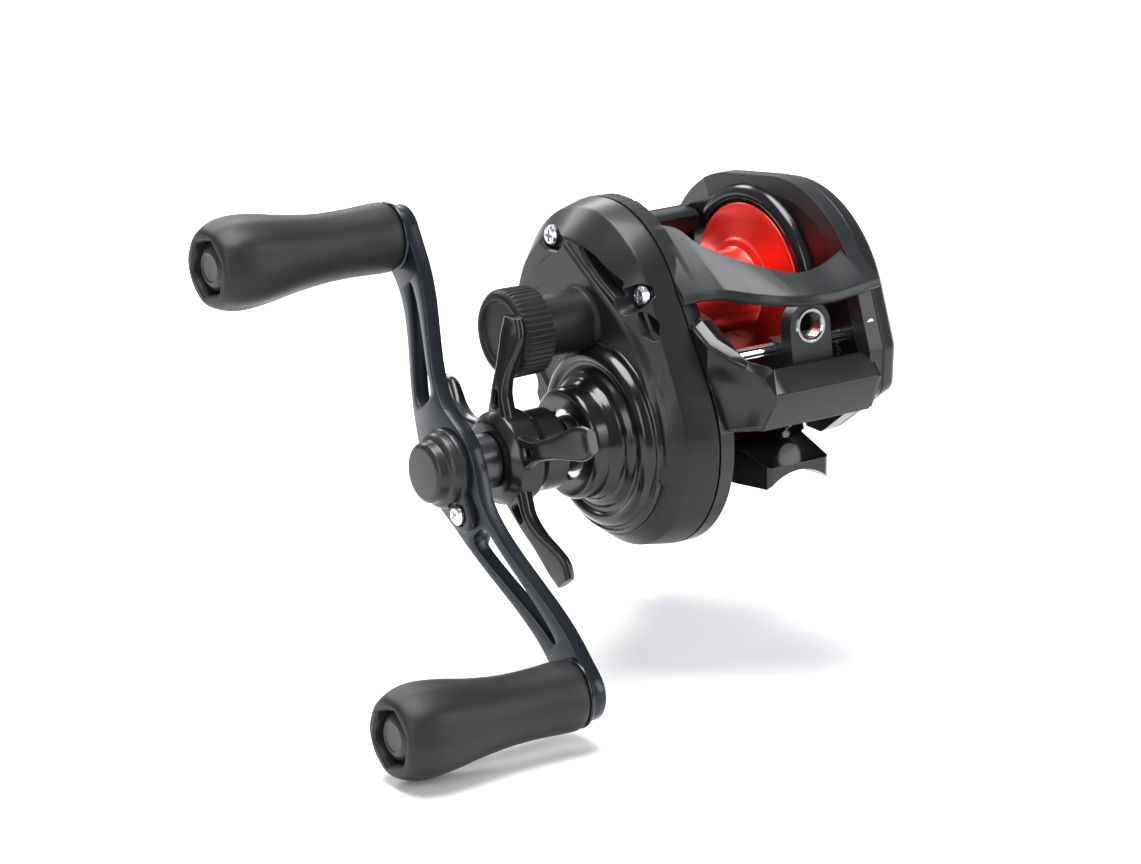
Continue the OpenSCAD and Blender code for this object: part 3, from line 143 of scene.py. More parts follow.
class Finish:
    """A material whose nodes are made by expressions."""

    def __init__(self, name):
        self.material = bpy.data.materials.new(name)
        self.material.use_nodes = True
        self.tree = self.material.node_tree
        self.tree.nodes.clear()

    def node(self, kind, settings=None, sockets=None, output=0):
        made = self.tree.nodes.new(kind)
        for key, value in (settings or {}).items():
            setattr(made, key, value)
        for key, value in (sockets or {}).items():
            if isinstance(value, Field):
                self.tree.links.new(value.socket, made.inputs[key])
            else:
                made.inputs[key].default_value = value
        return Field(self, made.outputs[output])

    def place(self):
        """The point on the object, in millimetres, as X, Y and Z fields."""
        spot = self.node("ShaderNodeTexCoord", output="Object")
        scaled = self.node(
            "ShaderNodeVectorMath", {"operation": "SCALE"}, {0: spot, "Scale": 1 / MM}
        )
        parts = [
            self.node("ShaderNodeSeparateXYZ", sockets={0: scaled}, output=i) for i in range(3)
        ]
        return scaled, parts

    def noise(self, where, scale, detail=3.0, roughness=0.5):
        return self.node(
            "ShaderNodeTexNoise",
            sockets={"Vector": where, "Scale": scale, "Detail": detail, "Roughness": roughness},
        )

    def blend(self, share, low, high):
        """A colour between two, by a share."""
        return self.node(
            "ShaderNodeMix",
            {"data_type": "RGBA"},
            {0: share, 6: low if isinstance(low, Field) else (*low, 1.0),
             7: high if isinstance(high, Field) else (*high, 1.0)},
            output=2,
        )

    def edge(self, radius_mm):
        """The rounded normal, and a share that is high on edges."""
        rounded = self.node("ShaderNodeBevel", {"samples": 4}, {"Radius": radius_mm * MM})
        plain = self.node("ShaderNodeNewGeometry", output="Normal")
        facing = self.node(
            "ShaderNodeVectorMath", {"operation": "DOT_PRODUCT"}, {0: rounded, 1: plain}, output=1
        )
        return rounded, ((1.0 - facing) * 6.0).clamped()

    def bump(self, height, depth_mm, strength, normal=None):
        """A normal that rises and falls with a height field."""
        sockets = {"Strength": strength, "Distance": depth_mm * MM, "Height": height}
        if normal is not None:
            sockets["Normal"] = normal
        return self.node("ShaderNodeBump", sockets=sockets)

    def close(self, colour, roughness, normal, **constants):
        """Joins the fields to one Principled shader."""
        sockets = {"Base Color": colour, "Roughness": roughness, "Normal": normal}
        sockets.update({key.replace("_", " "): value for key, value in constants.items()})
        shader = self.node("ShaderNodeBsdfPrincipled", sockets=sockets, output="BSDF")
        out = self.tree.nodes.new("ShaderNodeOutputMaterial")
        self.tree.links.new(shader.socket, out.inputs["Surface"])
        return self.material


def shade(colour, factor):
    return tuple(min(1.0, part * factor) for part in colour)


def coated_finish(name, colour, roughness, metallic=0.0, coat=0.0, edge_mm=0.2, edge_highlight=2.2,
                  grain=9.0, grain_depth=0.004, mottle=0.25, shine=0.3):
    """Paint, moulding or anodising: fine grain, slight mottling, smoother edges and a painted
    highlight that brightens the edges.
    """
    finish = Finish(name)
    where, _ = finish.place()
    rounded, highlit_edge = finish.edge(edge_mm)
    cloud = finish.noise(where, 0.16, 4.0)
    speck = finish.noise(where, grain, 2.0)
    base = finish.blend(cloud, shade(colour, 1 - mottle), shade(colour, 1 + mottle))
    # Painted highlight: the colour is lifted along the edges, where the bevel would catch the
    # light.
    base = finish.blend(highlit_edge, base, shade(colour, edge_highlight))
    rough = (roughness + (cloud - 0.5) * 0.12 + (speck - 0.5) * 0.06 - highlit_edge * 0.08).clamped()
    normal = finish.bump(speck, grain_depth, 0.5, rounded)
    return finish.close(base, rough, normal, Metallic=metallic, Specular_IOR_Level=shine,
                        Coat_Weight=coat, Coat_Roughness=0.12)


def turned_finish(name, colour, roughness, axis, pitch=0.12, depth=0.003, metallic=1.0, coat=0.0,
                  mottle=0.12):
    """Metal with the fine rings that a lathe leaves about an axis along X."""
    finish = Finish(name)
    where, (along, across, up) = finish.place()
    rounded, highlit_edge = finish.edge(0.12)
    off_y, off_z = across - axis[0], up - axis[1]
    reach = (off_y * off_y + off_z * off_z) ** 0.5
    band = finish.noise(
        finish.node("ShaderNodeCombineXYZ", sockets={0: reach, 1: along}), 1 / pitch, 2.0
    )
    cloud = finish.noise(where, 0.3, 3.0)
    base = finish.blend(band, shade(colour, 1 - mottle), shade(colour, 1 + mottle))
    # Painted highlight: the edges are painted up to half again as bright as the metal.
    base = finish.blend(highlit_edge * 0.6, base, shade(colour, 1.5))
    rough = (roughness + (band - 0.5) * 0.14 + (cloud - 0.5) * 0.08).clamped()
    normal = finish.bump(band, depth, 0.6, rounded)
    return finish.close(base, rough, normal, Metallic=metallic, Coat_Weight=coat,
                        Coat_Roughness=0.08)


def rubber_finish(name, colour):
    """Moulded grip rubber: matte, with a fine pebbled grain, soft mottling and a painted highlight
    along the edges.
    """
    finish = Finish(name)
    where, _ = finish.place()
    rounded, highlit_edge = finish.edge(0.25)
    pebble = finish.node(
        "ShaderNodeTexVoronoi", {"feature": "SMOOTH_F1"}, {"Vector": where, "Scale": 4.5}
    )
    cloud = finish.noise(where, 0.22, 5.0, 0.6)
    base = finish.blend(cloud, shade(colour, 0.75), shade(colour, 1.3))
    # Painted highlight: the edges are painted brighter than the rubber.
    base = finish.blend(highlit_edge * 0.5, base, shade(colour, 1.7))
    rough = (0.5 + (cloud - 0.5) * 0.16 + (pebble - 0.5) * 0.08).clamped()
    normal = finish.bump(pebble, 0.012, 0.35, rounded)
    return finish.close(base, rough, normal, Specular_IOR_Level=0.3)


def weave_finish(name):
    """Woven carbon drag washer."""
    finish = Finish(name)
    where, (_, across, up) = finish.place()
    warp = (across * 5.0).math("SINE", across * 5.0)
    weft = (up * 5.0).math("SINE", up * 5.0)
    cross = (warp * weft * 0.5 + 0.5).clamped()
    base = finish.blend(cross, (0.01, 0.01, 0.011), (0.05, 0.05, 0.055))
    grain = finish.noise(where, 6.0)
    return finish.close(base, 0.35 + grain * 0.25, finish.bump(cross, 0.02, 0.4))


def floor_finish():
    """Pale paper with a very faint tone."""
    finish = Finish("pale_floor")
    where = finish.node("ShaderNodeTexCoord", output="Object")
    tone = finish.noise(where, 3.0, 4.0)
    base = finish.blend(tone, (0.86, 0.86, 0.865), (0.9, 0.9, 0.9))
    return finish.close(base, 0.75 + tone * 0.1, finish.bump(tone, 0.2, 0.02))


FINISHES = {}


def make_finishes(sizes):
    dark, grey = tuple(sizes.body_colour), tuple(sizes.hood_colour)
    red = tuple(sizes.spool_colour)
    jet = (0.004, 0.004, 0.0045)
    # The edge factor in each coated entry is a painted highlight: how many times brighter that
    # finish is painted along its edges.
    coats = {
        "cover_satin": (dark, 0.36, dict(metallic=0.3, coat=0.08, edge_highlight=3.0)),
        "cover_gloss": (jet, 0.2, dict(coat=0.25, grain_depth=0.001, edge_highlight=5.0)),
        "hood_satin": (grey, 0.4, dict(metallic=0.35, coat=0.05, edge_highlight=3.0)),
        "frame_gloss": (jet, 0.22, dict(coat=0.2, edge_highlight=6.0)),
        "arm_anodised": ((0.013, 0.016, 0.021), 0.32,
                         dict(metallic=0.6, coat=0.1, edge_mm=0.3, edge_highlight=4.5, grain=14.0)),
        "star_gloss": ((0.009, 0.0095, 0.01), 0.24, dict(metallic=0.3, coat=0.25, edge_highlight=5.0)),
        "cap_plastic": ((0.012, 0.0125, 0.0135), 0.36, dict(coat=0.1, grain=6.0)),
        "grip_matte": ((0.011, 0.0115, 0.012), 0.5,
                       dict(edge_highlight=3.5, grain=5.0, grain_depth=0.01, shine=0.22)),
        "tension_matte": ((0.008, 0.008, 0.0085), 0.45, dict(metallic=0.1, shine=0.22)),
        "ring_ceramic": ((0.3, 0.3, 0.31), 0.16, dict(metallic=0.85, coat=0.6, edge_highlight=1.6)),
        "nylon": ((0.62, 0.6, 0.54), 0.5, dict(edge_highlight=1.2)),
        "inner_black": ((0.012, 0.012, 0.013), 0.4, dict(metallic=0.1, coat=0.1)),
        "spring_steel": ((0.5, 0.5, 0.52), 0.22, dict(metallic=1.0, edge_highlight=1.3)),
        "magnet": ((0.42, 0.42, 0.43), 0.18, dict(metallic=1.0, coat=0.2, edge_highlight=1.4)),
    }
    turnings = {
        "spool_red": (red, 0.3, SPOOL_AXIS, dict(metallic=0.65, coat=0.2)),
        "chrome": ((0.86, 0.86, 0.87), 0.09, SPOOL_AXIS, dict(depth=0.0006, mottle=0.05)),
        "steel": ((0.56, 0.56, 0.58), 0.26, SPOOL_AXIS, {}),
        "drive_steel": ((0.55, 0.55, 0.57), 0.24, DRIVE_AXIS, {}),
        "dark_steel": ((0.07, 0.07, 0.075), 0.34, DRIVE_AXIS, {}),
        "brass": ((0.78, 0.56, 0.25), 0.28, DRIVE_AXIS, {}),
        "bronze": ((0.6, 0.38, 0.2), 0.4, DRIVE_AXIS, {}),
    }
    rubbers = {"knob_rubber": (0.009, 0.0095, 0.0105), "seal_rubber": (0.012, 0.012, 0.012)}
    for name, (colour, roughness, how) in coats.items():
        FINISHES[name] = coated_finish(name, colour, roughness, **how)
    for name, (colour, roughness, axis, how) in turnings.items():
        FINISHES[name] = turned_finish(name, colour, roughness, axis, **how)
    for name, colour in rubbers.items():
        FINISHES[name] = rubber_finish(name, colour)
    FINISHES["carbon"] = weave_finish("carbon")


NODE_FINISHES = {
    "frame": "frame_gloss", "front_hood": "hood_satin", "gear_side_cover": "cover_satin",
    "palm_side_cover": "cover_satin", "cover_screws": "steel", "palm_cover_screws": "steel",
    "hood_screws": "steel", "spool": "spool_red", "spool_shaft": "steel", "spool_pin": "steel",
    "brake_rotor": "steel", "palm_spool_bearing": "steel", "gear_spool_bearing": "steel",
    "pinion_bearing": "steel", "magnet_plate": "inner_black", "brake_magnets": "magnet",
    "brake_dial": "tension_matte", "tension_knob": "tension_matte", "tension_shim": "nylon",
    "tension_o_ring": "seal_rubber", "pinion_gear": "brass", "clutch_yoke": "nylon",
    "yoke_posts": "steel", "yoke_springs": "spring_steel", "clutch_cam": "spring_steel",
    "kick_lever": "spring_steel", "clutch_spring": "spring_steel", "thumb_bar": "inner_black",
    "drive_shaft": "drive_steel", "drive_shaft_bushing": "bronze", "level_wind_drive_gear": "nylon",
    "ratchet": "drive_steel", "drive_gear": "brass", "carbon_drag_washers": "carbon",
    "metal_drag_washers": "drive_steel", "one_way_sleeve": "dark_steel",
    "one_way_bearing": "drive_steel", "spring_washers": "dark_steel", "star_nut": "dark_steel",
    "star_drag": "star_gloss", "handle_spacer": "dark_steel", "handle_arm": "arm_anodised",
    "handle_nut": "drive_steel", "nut_cap": "cap_plastic", "nut_cap_screw": "chrome",
    "knob_posts": "steel", "upper_knob": "knob_rubber", "upper_knob_cap": "cap_plastic",
    "upper_knob_bushings": "bronze", "lower_knob": "knob_rubber", "lower_knob_cap": "cap_plastic",
    "lower_knob_bushings": "bronze", "knob_screws": "steel", "worm_shaft": "steel",
    "worm_gear": "nylon", "worm_tube": "steel", "guide_rod": "chrome", "line_guide": "hood_satin",
    "line_ring": "ring_ceramic", "line_pawl": "chrome",
}


# ---------- Mesh making ----------


def rounded_line(points, radius, steps=3, closed=False):
    """A line through points, with each corner eased by a small curve."""
    spots = [Vector(p) for p in points]
    count = len(spots)
    out = []
    for i, spot in enumerate(spots):
        if not closed and i in (0, count - 1):
            out.append(spot)
            continue
        before, after = spots[i - 1] - spot, spots[(i + 1) % count] - spot
        if min(before.length, after.length) < 1e-6:
            continue
        reach = min(radius, 0.45 * before.length, 0.45 * after.length)
        start, end = spot + before.normalized() * reach, spot + after.normalized() * reach
        for k in range(steps + 1):
            t = k / steps
            out.append(start * (1 - t) ** 2 + spot * (2 * t * (1 - t)) + end * t * t)
    return out


def smooth_line(points, steps):
    """A smooth curve through the points."""
    spots = [Vector(p) for p in points]
    out = []
    for i in range(len(spots) - 1):
        a, b = spots[max(i - 1, 0)], spots[i]
        c, d = spots[i + 1], spots[min(i + 2, len(spots) - 1)]
        for k in range(steps):
            t = k / steps
            out.append(0.5 * (2 * b + (c - a) * t + (2 * a - 5 * b + 4 * c - d) * t * t
                              + (3 * b - a - 3 * c + d) * t ** 3))
    out.append(spots[-1])
    return out


def drawn_in(lobe, inset):
    """A lobe made smaller, and moved towards the spool where it has no more to give."""
    over = max(inset + LEAST_CORNER - lobe[2], 0)
    way = Vector((SPOOL_AXIS[0] - lobe[0], SPOOL_AXIS[1] - lobe[1]))
    moved = way.normalized() * over if over > 0 else Vector((0, 0))
    return lobe[0] + moved.x, lobe[1] + moved.y, max(lobe[2] - inset, LEAST_CORNER)


def band_point(lobes, turn, inset):
    """The outermost point, in one direction, of a band pulled tight round the lobes."""
    c, s = math.cos(turn), math.sin(turn)
    drawn = [drawn_in(lobe, inset) for lobe in lobes]
    y, z, r = max(drawn, key=lambda lobe: lobe[0] * c + lobe[1] * s + lobe[2])
    return y + r * c, z + r * s


def bridge(bm, rings, around=True, cap_first=True, cap_last=True):
    """Joins rings of equal length into a skin."""
    made = [[bm.verts.new(p) for p in ring] for ring in rings]
    count = len(made[0])
    for low, high in zip(made, made[1:]):
        for i in range(count if around else count - 1):
            j = (i + 1) % count
            bm.faces.new((low[i], low[j], high[j], high[i]))
    if cap_first:
        bm.faces.new(list(reversed(made[0])))
    if cap_last:
        bm.faces.new(made[-1])
    return made


def lathe(profile, axis, sides=128, closed=False, wave=None):
    """Turns a profile of (X, radius) points about an axis along X."""
    bm = bmesh.new()
    line = [Vector((p[0], p[1])) for p in profile]
    if closed:
        line.append(line[0])
    rings = []
    for x, r in line:
        ring = []
        for i in range(sides):
            turn = 2 * math.pi * i / sides
            reach = max(r, 1e-5) * (1 if wave is None else wave(x, r, turn))
            ring.append((x, axis[0] + reach * math.cos(turn), axis[1] + reach * math.sin(turn)))
        rings.append(ring)
    bridge(bm, rings, cap_first=False, cap_last=False)
    bmesh.ops.remove_doubles(bm, verts=bm.verts, dist=2e-4)
    bmesh.ops.recalc_face_normals(bm, faces=bm.faces)
    return bm


def prism(outline, x0, x1):
    """A flat outline of (Y, Z) points stood up along X."""
    bm = bmesh.new()
    bridge(bm, [[(x, p[0], p[1]) for p in outline] for x in (x0, x1)])
    bmesh.ops.recalc_face_normals(bm, faces=bm.faces)
    return bm


def grown(outline, amount):
    """An outline moved outwards by an amount, or inwards where it is negative."""
    spots = [Vector(p[:2]) for p in outline]
    area = sum(a.x * b.y - b.x * a.y for a, b in zip(spots, spots[1:] + spots[:1]))
    side = 1 if area > 0 else -1
    out = []
    for i, spot in enumerate(spots):
        a, b = (spot - spots[i - 1]).normalized(), (spots[(i + 1) % len(spots)] - spot).normalized()
        na, nb = Vector((a.y, -a.x)) * side, Vector((b.y, -b.x)) * side
        mid = (na + nb) / max(1 + na.dot(nb), 0.35)
        out.append(spot + mid * amount)
    return out


def make_object(name, bm):
    """Makes an object from a mesh in millimetres."""
    bm.transform(Matrix.Scale(MM, 4))
    mesh = bpy.data.meshes.new(name)
    bm.to_mesh(mesh)
    bm.free()
    obj = bpy.data.objects.new(name, mesh)
    bpy.context.scene.collection.objects.link(obj)
    return obj


def skin(name, rings):
    """Makes an object whose skin joins rings of equal length, with its faces turned outwards."""
    bm = bmesh.new()
    bridge(bm, rings)
    bmesh.ops.recalc_face_normals(bm, faces=bm.faces)
    return make_object(name, bm)


def turned(name, profile, axis, sides, closed=False, wave=None):
    """Makes an object turned about an axis along X."""
    return make_object(name, lathe(profile, axis, sides, closed, wave))


def outline_turns():
    return [2 * math.pi * i / OUTLINE_SIDES for i in range(OUTLINE_SIDES)]


def settle(obj):
    """Applies an object's modifiers to its mesh."""
    bpy.context.view_layer.update()
    graph = bpy.context.evaluated_depsgraph_get()
    mesh = bpy.data.meshes.new_from_object(obj.evaluated_get(graph))
    obj.modifiers.clear()
    obj.data = mesh
    return obj


def combine(obj, others, operation="DIFFERENCE"):
    """Cuts the others from an object, or joins them to it, and removes them."""
    for other in others:
        step = obj.modifiers.new("step", "BOOLEAN")
        step.operation = operation
        step.solver = "EXACT"
        step.object = other
        settle(obj)
        bpy.data.objects.remove(other)
    return obj


def soften(obj, width, segments=2, angle=35):
    """Rounds an object's sharp edges by a width in millimetres."""
    step = obj.modifiers.new("soften", "BEVEL")
    step.width = width * MM
    step.segments = segments
    step.limit_method = "ANGLE"
    step.angle_limit = math.radians(angle)
    step.use_clamp_overlap = True
    step.harden_normals = False
    return settle(obj)


def dress(obj, finish, body, replaces=(), sharp=32):
    """Smooths an object, gives it a finish, and sets it to ride on a body."""
    mesh = obj.data
    mesh.polygons.foreach_set("use_smooth", [True] * len(mesh.polygons))
    mesh.set_sharp_from_angle(angle=math.radians(sharp))
    mesh.materials.clear()
    mesh.materials.append(FINISHES[finish])
    if replaces:
        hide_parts(*replaces)
    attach(obj, body)
    return obj


def blend_share(value, low, high):
    """A share that eases from 0 at low to 1 at high."""
    t = min(max((value - low) / (high - low), 0.0), 1.0)
    return t * t * (3 - 2 * t)


def onto_handle(obj):
    """Tilts a piece drawn along Z to lie along the handle, on the drive shaft's axis."""
    place = Matrix.Translation((0, DRIVE_AXIS[0] * MM, DRIVE_AXIS[1] * MM))
    obj.data.transform(place @ Matrix.Rotation(-HANDLE_TILT, 4, "X"))


def knob_centre(side):
    return (
        DRIVE_AXIS[0] + side * HANDLE_HALF * math.sin(HANDLE_TILT),
        DRIVE_AXIS[1] + side * HANDLE_HALF * math.cos(HANDLE_TILT),
    )


# ---------- Pieces ----------


def cutter(outline, x_deep, x_top, lean):
    """A pocket cutter along X whose mouth opens as a chamfer."""
    shape = rounded_line(outline, 0.5, 3, True)
    stations = ((x_deep, -0.15), (x_top + lean, 0.0), (x_top, lean), (x_top - 4, lean))
    return skin("cutter", [[(x, p.x, p.y) for p in grown(shape, amount)] for x, amount in stations])


def gear_cover_shell():
    """The chamfered plate of the gear-side cover, before anything is cut into it."""
    top = rounded_line([
        (GEAR_RIM, 0.45), (-15.95, 0.02), (-20.4, 1.2), (-25.2, 6.0), (-25.25, 9.0),
    ], 0.35, 3)
    low = rounded_line([
        (GEAR_RIM, 0.45), (-15.95, 0.02), (-22.0, 0.95), (-25.2, 3.3), (-25.25, 9.0),
    ], 0.35, 3)
    rings = []
    for a, b in zip(top, low):
        ring = []
        for turn in outline_turns():
            depth, height = band_point(GEAR_LOBES, turn, 0)
            share = max(blend_share(height, 31.0, 24.5) * blend_share(depth, 6.0, -4.0),
                        blend_share(height, 10.0, 2.0))
            inset = a.y + (b.y - a.y) * share
            ring.append((a.x + (b.x - a.x) * share, *band_point(GEAR_LOBES, turn, inset)))
        rings.append(ring)
    return skin("gear_cover_shell", rings)


def gear_cover():
    cover = gear_cover_shell()

    # Raised arm from the rear edge, round the front lobe
    outer = [(17.2, 28.6), (13.0, 32.4), (5.4, 37.4), (-2.8, 32.6), (-9.4, 28.9), (-15.1, 24.6),
             (-19.6, 19.4), (-22.6, 13.4), (-24.6, 7.0), (-25.6, 0.4)]
    inner = [(-24.4, 0.2), (-22.5, 7.2), (-19.9, 12.6), (-13.9, 16.8), (-8.2, 20.0), (-1.2, 23.0),
             (6.7, 25.8), (12.6, 29.4)]
    arm = [Vector(p) for p in outer[:2]] + smooth_line(outer[2:], 4) + smooth_line(inner, 4)
    ridge = skin("ridge", [[(x, p.x, p.y) for p in grown(arm, amount)]
                           for x, amount in ((-23.4, 0.25), (-25.55, 0.1), (-26.0, -0.35))])
    combine(cover, [ridge], "UNION")

    # Sunk floor between the raised arm and the dome, then the two small pockets above it
    floor = [(12.0, 28.6), (6.4, 25.2), (-1.4, 22.4), (-8.4, 19.4), (-6.0, 12.0), (10.0, 8.0),
             (19.5, 17.0), (17.8, 25.4)]
    upper = [(1.3, 37.6), (-3.0, 36.8), (-9.6, 33.4), (-9.9, 30.4), (-5.1, 32.6), (-1.9, 34.6)]
    lower = [(-13.6, 28.6), (-16.5, 27.9), (-17.3, 27.0), (-18.1, 24.6), (-15.9, 25.4)]
    pockets = [cutter(floor, -24.75, -25.3, 0.3), cutter(upper, -22.2, -25.0, 0.45),
               cutter(lower, -19.6, -21.6, 0.4)]
    pockets.append(turned("recess", [
        (-19.6, 0), (-19.6, 2.15), (-22.4, 2.25), (-24.6, 3.1), (-29, 3.2), (-29, 0),
    ], TOP_SCREW, 48))
    tear = []
    for degrees in range(-90, 91, 15):
        turn = math.radians(degrees)
        tear.append((11.2 + 3.4 * math.cos(turn), 37.2 + 2.3 * math.sin(turn)))
    tear += [(6.6, 38.0), (6.0, 36.9), (8.0, 35.2)]
    pockets.append(cutter(tear, -23.55, -25.1, 0.3))
    pockets.append(turned("rear_recess", [
        (-19.0, 0), (-19.0, 2.2), (-24.4, 2.4), (-25.3, 2.9), (-29, 3.0), (-29, 0),
    ], REAR_SCREW, 40))

    # Room for the drive gear, the spool bearing and the pinion's travel
    rooms = ((DRIVE_AXIS, 18.95, -24.1), (SPOOL_AXIS, 8.6, -24.2), (SPOOL_AXIS, 4.2, -27.0))
    for axis, reach, depth in rooms:
        room = [(-14.0, 0), (-14.0, reach), (depth, reach), (depth, 0)]
        pockets.append(turned("inside", room, axis, 120))
    combine(cover, pockets)
    dress(cover, "cover_satin", "frame", ["gear_side_cover"], 28)

    # Dome rings and neck about the drive shaft
    dome = rounded_line([
        (-24.5, 17.6), (-25.1, 17.7), (-26.1, 17.6), (-26.5, 17.2), (-26.2, 16.8), (-26.5, 16.4),
        (-27.7, 15.9), (-28.4, 14.9), (-28.3, 14.1), (-27.6, 13.5), (-27.8, 12.7), (-28.9, 11.9),
        (-29.2, 11.0), (-30.2, 10.6), (-31.0, 10.1), (-33.8, 10.1), (-34.5, 9.5), (-34.5, 6.2),
        (-30.0, 6.2), (-26.0, 14.0), (-24.5, 16.8),
    ], 0.45, 4, True)
    dress(turned("gear_dome", dome, DRIVE_AXIS, 160, True), "cover_gloss", "frame")
    boss = rounded_line([
        (-24.4, 6.9), (-25.4, 6.9), (-25.9, 6.6), (-26.5, 5.7), (-34.6, 5.4), (-36.2, 5.4),
        (-36.6, 5.2), (-36.6, 4.4), (-24.4, 4.4),
    ], 0.4, 3, True)
    dress(turned("tension_boss", boss, SPOOL_AXIS, 96, True), "tension_matte", "frame")


# Upper and lower edges of the front corner, as (Y, Z)
CORNER_TOP = [
    (-14.0, 27.2), (-16.8, 26.8), (-20.0, 26.4), (-28.0, 22.4), (-34.5, 20.2), (-36.7, 16.6),
]
CORNER_LOW = [(-14.0, 11.2), (-18.0, 10.6), (-27.0, 8.4), (-34.0, 10.0), (-36.7, 16.4)]
SLANT_FROM = -24.5
SLANT = 0.5


def along_line(line, y):
    """The height of a line of (Y, Z) points, which run forwards, at one Y."""
    for (y0, z0), (y1, z1) in zip(line, line[1:]):
        if y >= y1:
            return z0 + (z1 - z0) * min(max((y - y0) / (y1 - y0), 0.0), 1.0)
    return line[-1][1]


def corner_side(y):
    """How far out the slanted face of the front corner stands at one Y."""
    return -15.6 + max(SLANT_FROM - y, 0.0) * SLANT


def front_corner():
    """The gloss corner between the gear-side cover and the front bar, and the bar itself."""
    rings = []
    for y in (-14.0, -16.8, -20.0, -24.5, -28.0, -31.2, -33.6, -34.6, -36.75):
        top, low, side = along_line(CORNER_TOP, y), along_line(CORNER_LOW, y), corner_side(y)
        tip = blend_share(y, -34.6, -36.7)
        inner = -11.66 if y > -31.3 else side + 2.3
        edge = min(side + 1.9 * (1 - tip), inner - 0.12)
        lift = 0.8 * (1 - tip)
        middle = (top + low) / 2
        rings.append([
            (inner, y, top + lift), (edge, y, top + lift), (side - 0.05, y, top - 0.5 * (1 - tip)),
            (side - 0.12, y, middle + 1.6 * (1 - tip)), (side - 0.02, y, low + 0.9 * (1 - tip)),
            (min(side + 0.8 * (1 - tip), inner - 0.1), y, low - 0.06), (inner, y, low - 0.06),
        ])
    corner = skin("front_corner", rings)
    soften(corner, 0.22, 2, 14)
    dress(corner, "frame_gloss", "frame", (), 30)

    bar = [(-31.3, 19.7), (-33.2, 20.5), (-36.95, 16.6), (-34.2, 9.8), (-31.5, 10.0), (-33.1, 15.7)]
    section = rounded_line(bar, 0.3, 3, True)
    steps = 24
    rings = []
    for k in range(steps + 1):
        rings.append([(corner_side(p.x) + 0.25 + (12.65 - corner_side(p.x)) * k / steps, p.x, p.y)
                      for p in section])
    dress(skin("front_bar", rings), "hood_satin", "frame", (), 26)


# Front and rear edges of the hood's beam: X, front Y, front Z, rear Y, rear Z
HOOD_EDGES = [
    (-15.5, -17.8, 30.3, -4.5, 41.9), (-10.7, -21.5, 31.7, -7.6, 41.0),
    (-8.0, -28.0, 32.5, -11.5, 38.3), (-4.0, -32.6, 32.6, -20.5, 36.5),
    (0.5, -34.4, 32.3, -27.0, 35.5), (6.0, -34.6, 32.3, -27.0, 35.5),
    (10.7, -34.4, 32.6, -26.0, 36.7), (15.5, -34.0, 32.9, -24.6, 38.3),
]


def hood():
    front_line = smooth_line([(x, y, z) for x, y, z, _, _ in HOOD_EDGES], 6)
    rear_line = smooth_line([(x, y, z) for x, _, _, y, z in HOOD_EDGES], 6)
    rings = []
    for front, rear in zip(front_line, rear_line):
        f, r = Vector((front.y, front.z)), Vector((rear.y, rear.z))
        along = (r - f).normalized()
        down = Vector((along.y, -along.x))
        if down.y > 0:
            down = -down
        lip = min(1.9, 0.3 * (r - f).length)
        section = [
            r, f + along * lip * 0.6 - down * 0.05, f + down * 0.9 + along * 0.1,
            f + down * 2.0 + along * 0.5, f + down * 2.1 + along * 1.6,
            r + down * 2.0 - along * 0.3, r + down * 0.5,
        ]
        shape = rounded_line(section, 0.28, 2, True)
        rings.append([(front.x * 0.5 + rear.x * 0.5, p.x, p.y) for p in shape])
    beam = skin("hood_beam", rings)

    rims = []
    for lobes, x0, x1, start, end in ((GEAR_LOBES, GEAR_RIM, -12.6, 98, 148),
                                      (PALM_LOBES, 12.6, 15.6, 60, 172)):
        line = []
        for k in range(41):
            turn = math.radians(start + (end - start) * k / 40)
            line.append((band_point(lobes, turn, -0.1), band_point(lobes, turn, 3.5)))
        outline = [p[0] for p in line] + [p[1] for p in reversed(line)]
        rims.append(make_object("rim", prism(outline, x0, x1)))
    combine(beam, rims, "UNION")
    window = [(-12.75, 0), (-12.75, 16.3), (12.75, 16.3), (12.75, 0)]
    combine(beam, [turned("window", window, SPOOL_AXIS, 128)])
    dress(beam, "hood_satin", "frame", ["front_hood"], 28)


def palm_side():
    """Palm-side cover with a chamfered edge, a dial groove and seats for its screws."""
    skirt = rounded_line([
        (PALM_RIM, 0.4), (15.9, 0.02), (18.6, 0.7), (20.6, 3.0), (22.0, 7.0), (22.0, 12.0),
    ], 0.6, 4)
    rings = []
    for x, inset in skirt:
        ring = []
        for turn in outline_turns():
            y, z = band_point(PALM_LOBES, turn, inset)
            ring.append((x, y, max(z, PALM_FLOOR + inset * 0.6)))
        rings.append(ring)
    bm = bmesh.new()
    bridge(bm, rings)
    bmesh.ops.recalc_face_normals(bm, faces=bm.faces)
    bmesh.ops.remove_doubles(bm, verts=bm.verts, dist=1e-4)
    cover = make_object("palm_cover_shell", bm)
    groove = rounded_line([
        (20.5, 2.6), (20.5, 8.8), (21.6, 8.8), (22.4, 9.6), (24, 9.6), (24, 2.2), (21.5, 2.2),
    ], 0.3, 2, True)
    tools = [turned("groove", groove, SPOOL_AXIS, 96, True)]
    seat = [(20.0, 0), (20.0, 2.1), (21.5, 2.2), (22.3, 3.0), (25, 3.0), (25, 0)]
    for place in PALM_SCREWS:
        tools.append(turned("seat", seat, place, 40))
    combine(cover, tools)
    dress(cover, "cover_satin", "frame", ["palm_side_cover"], 28)


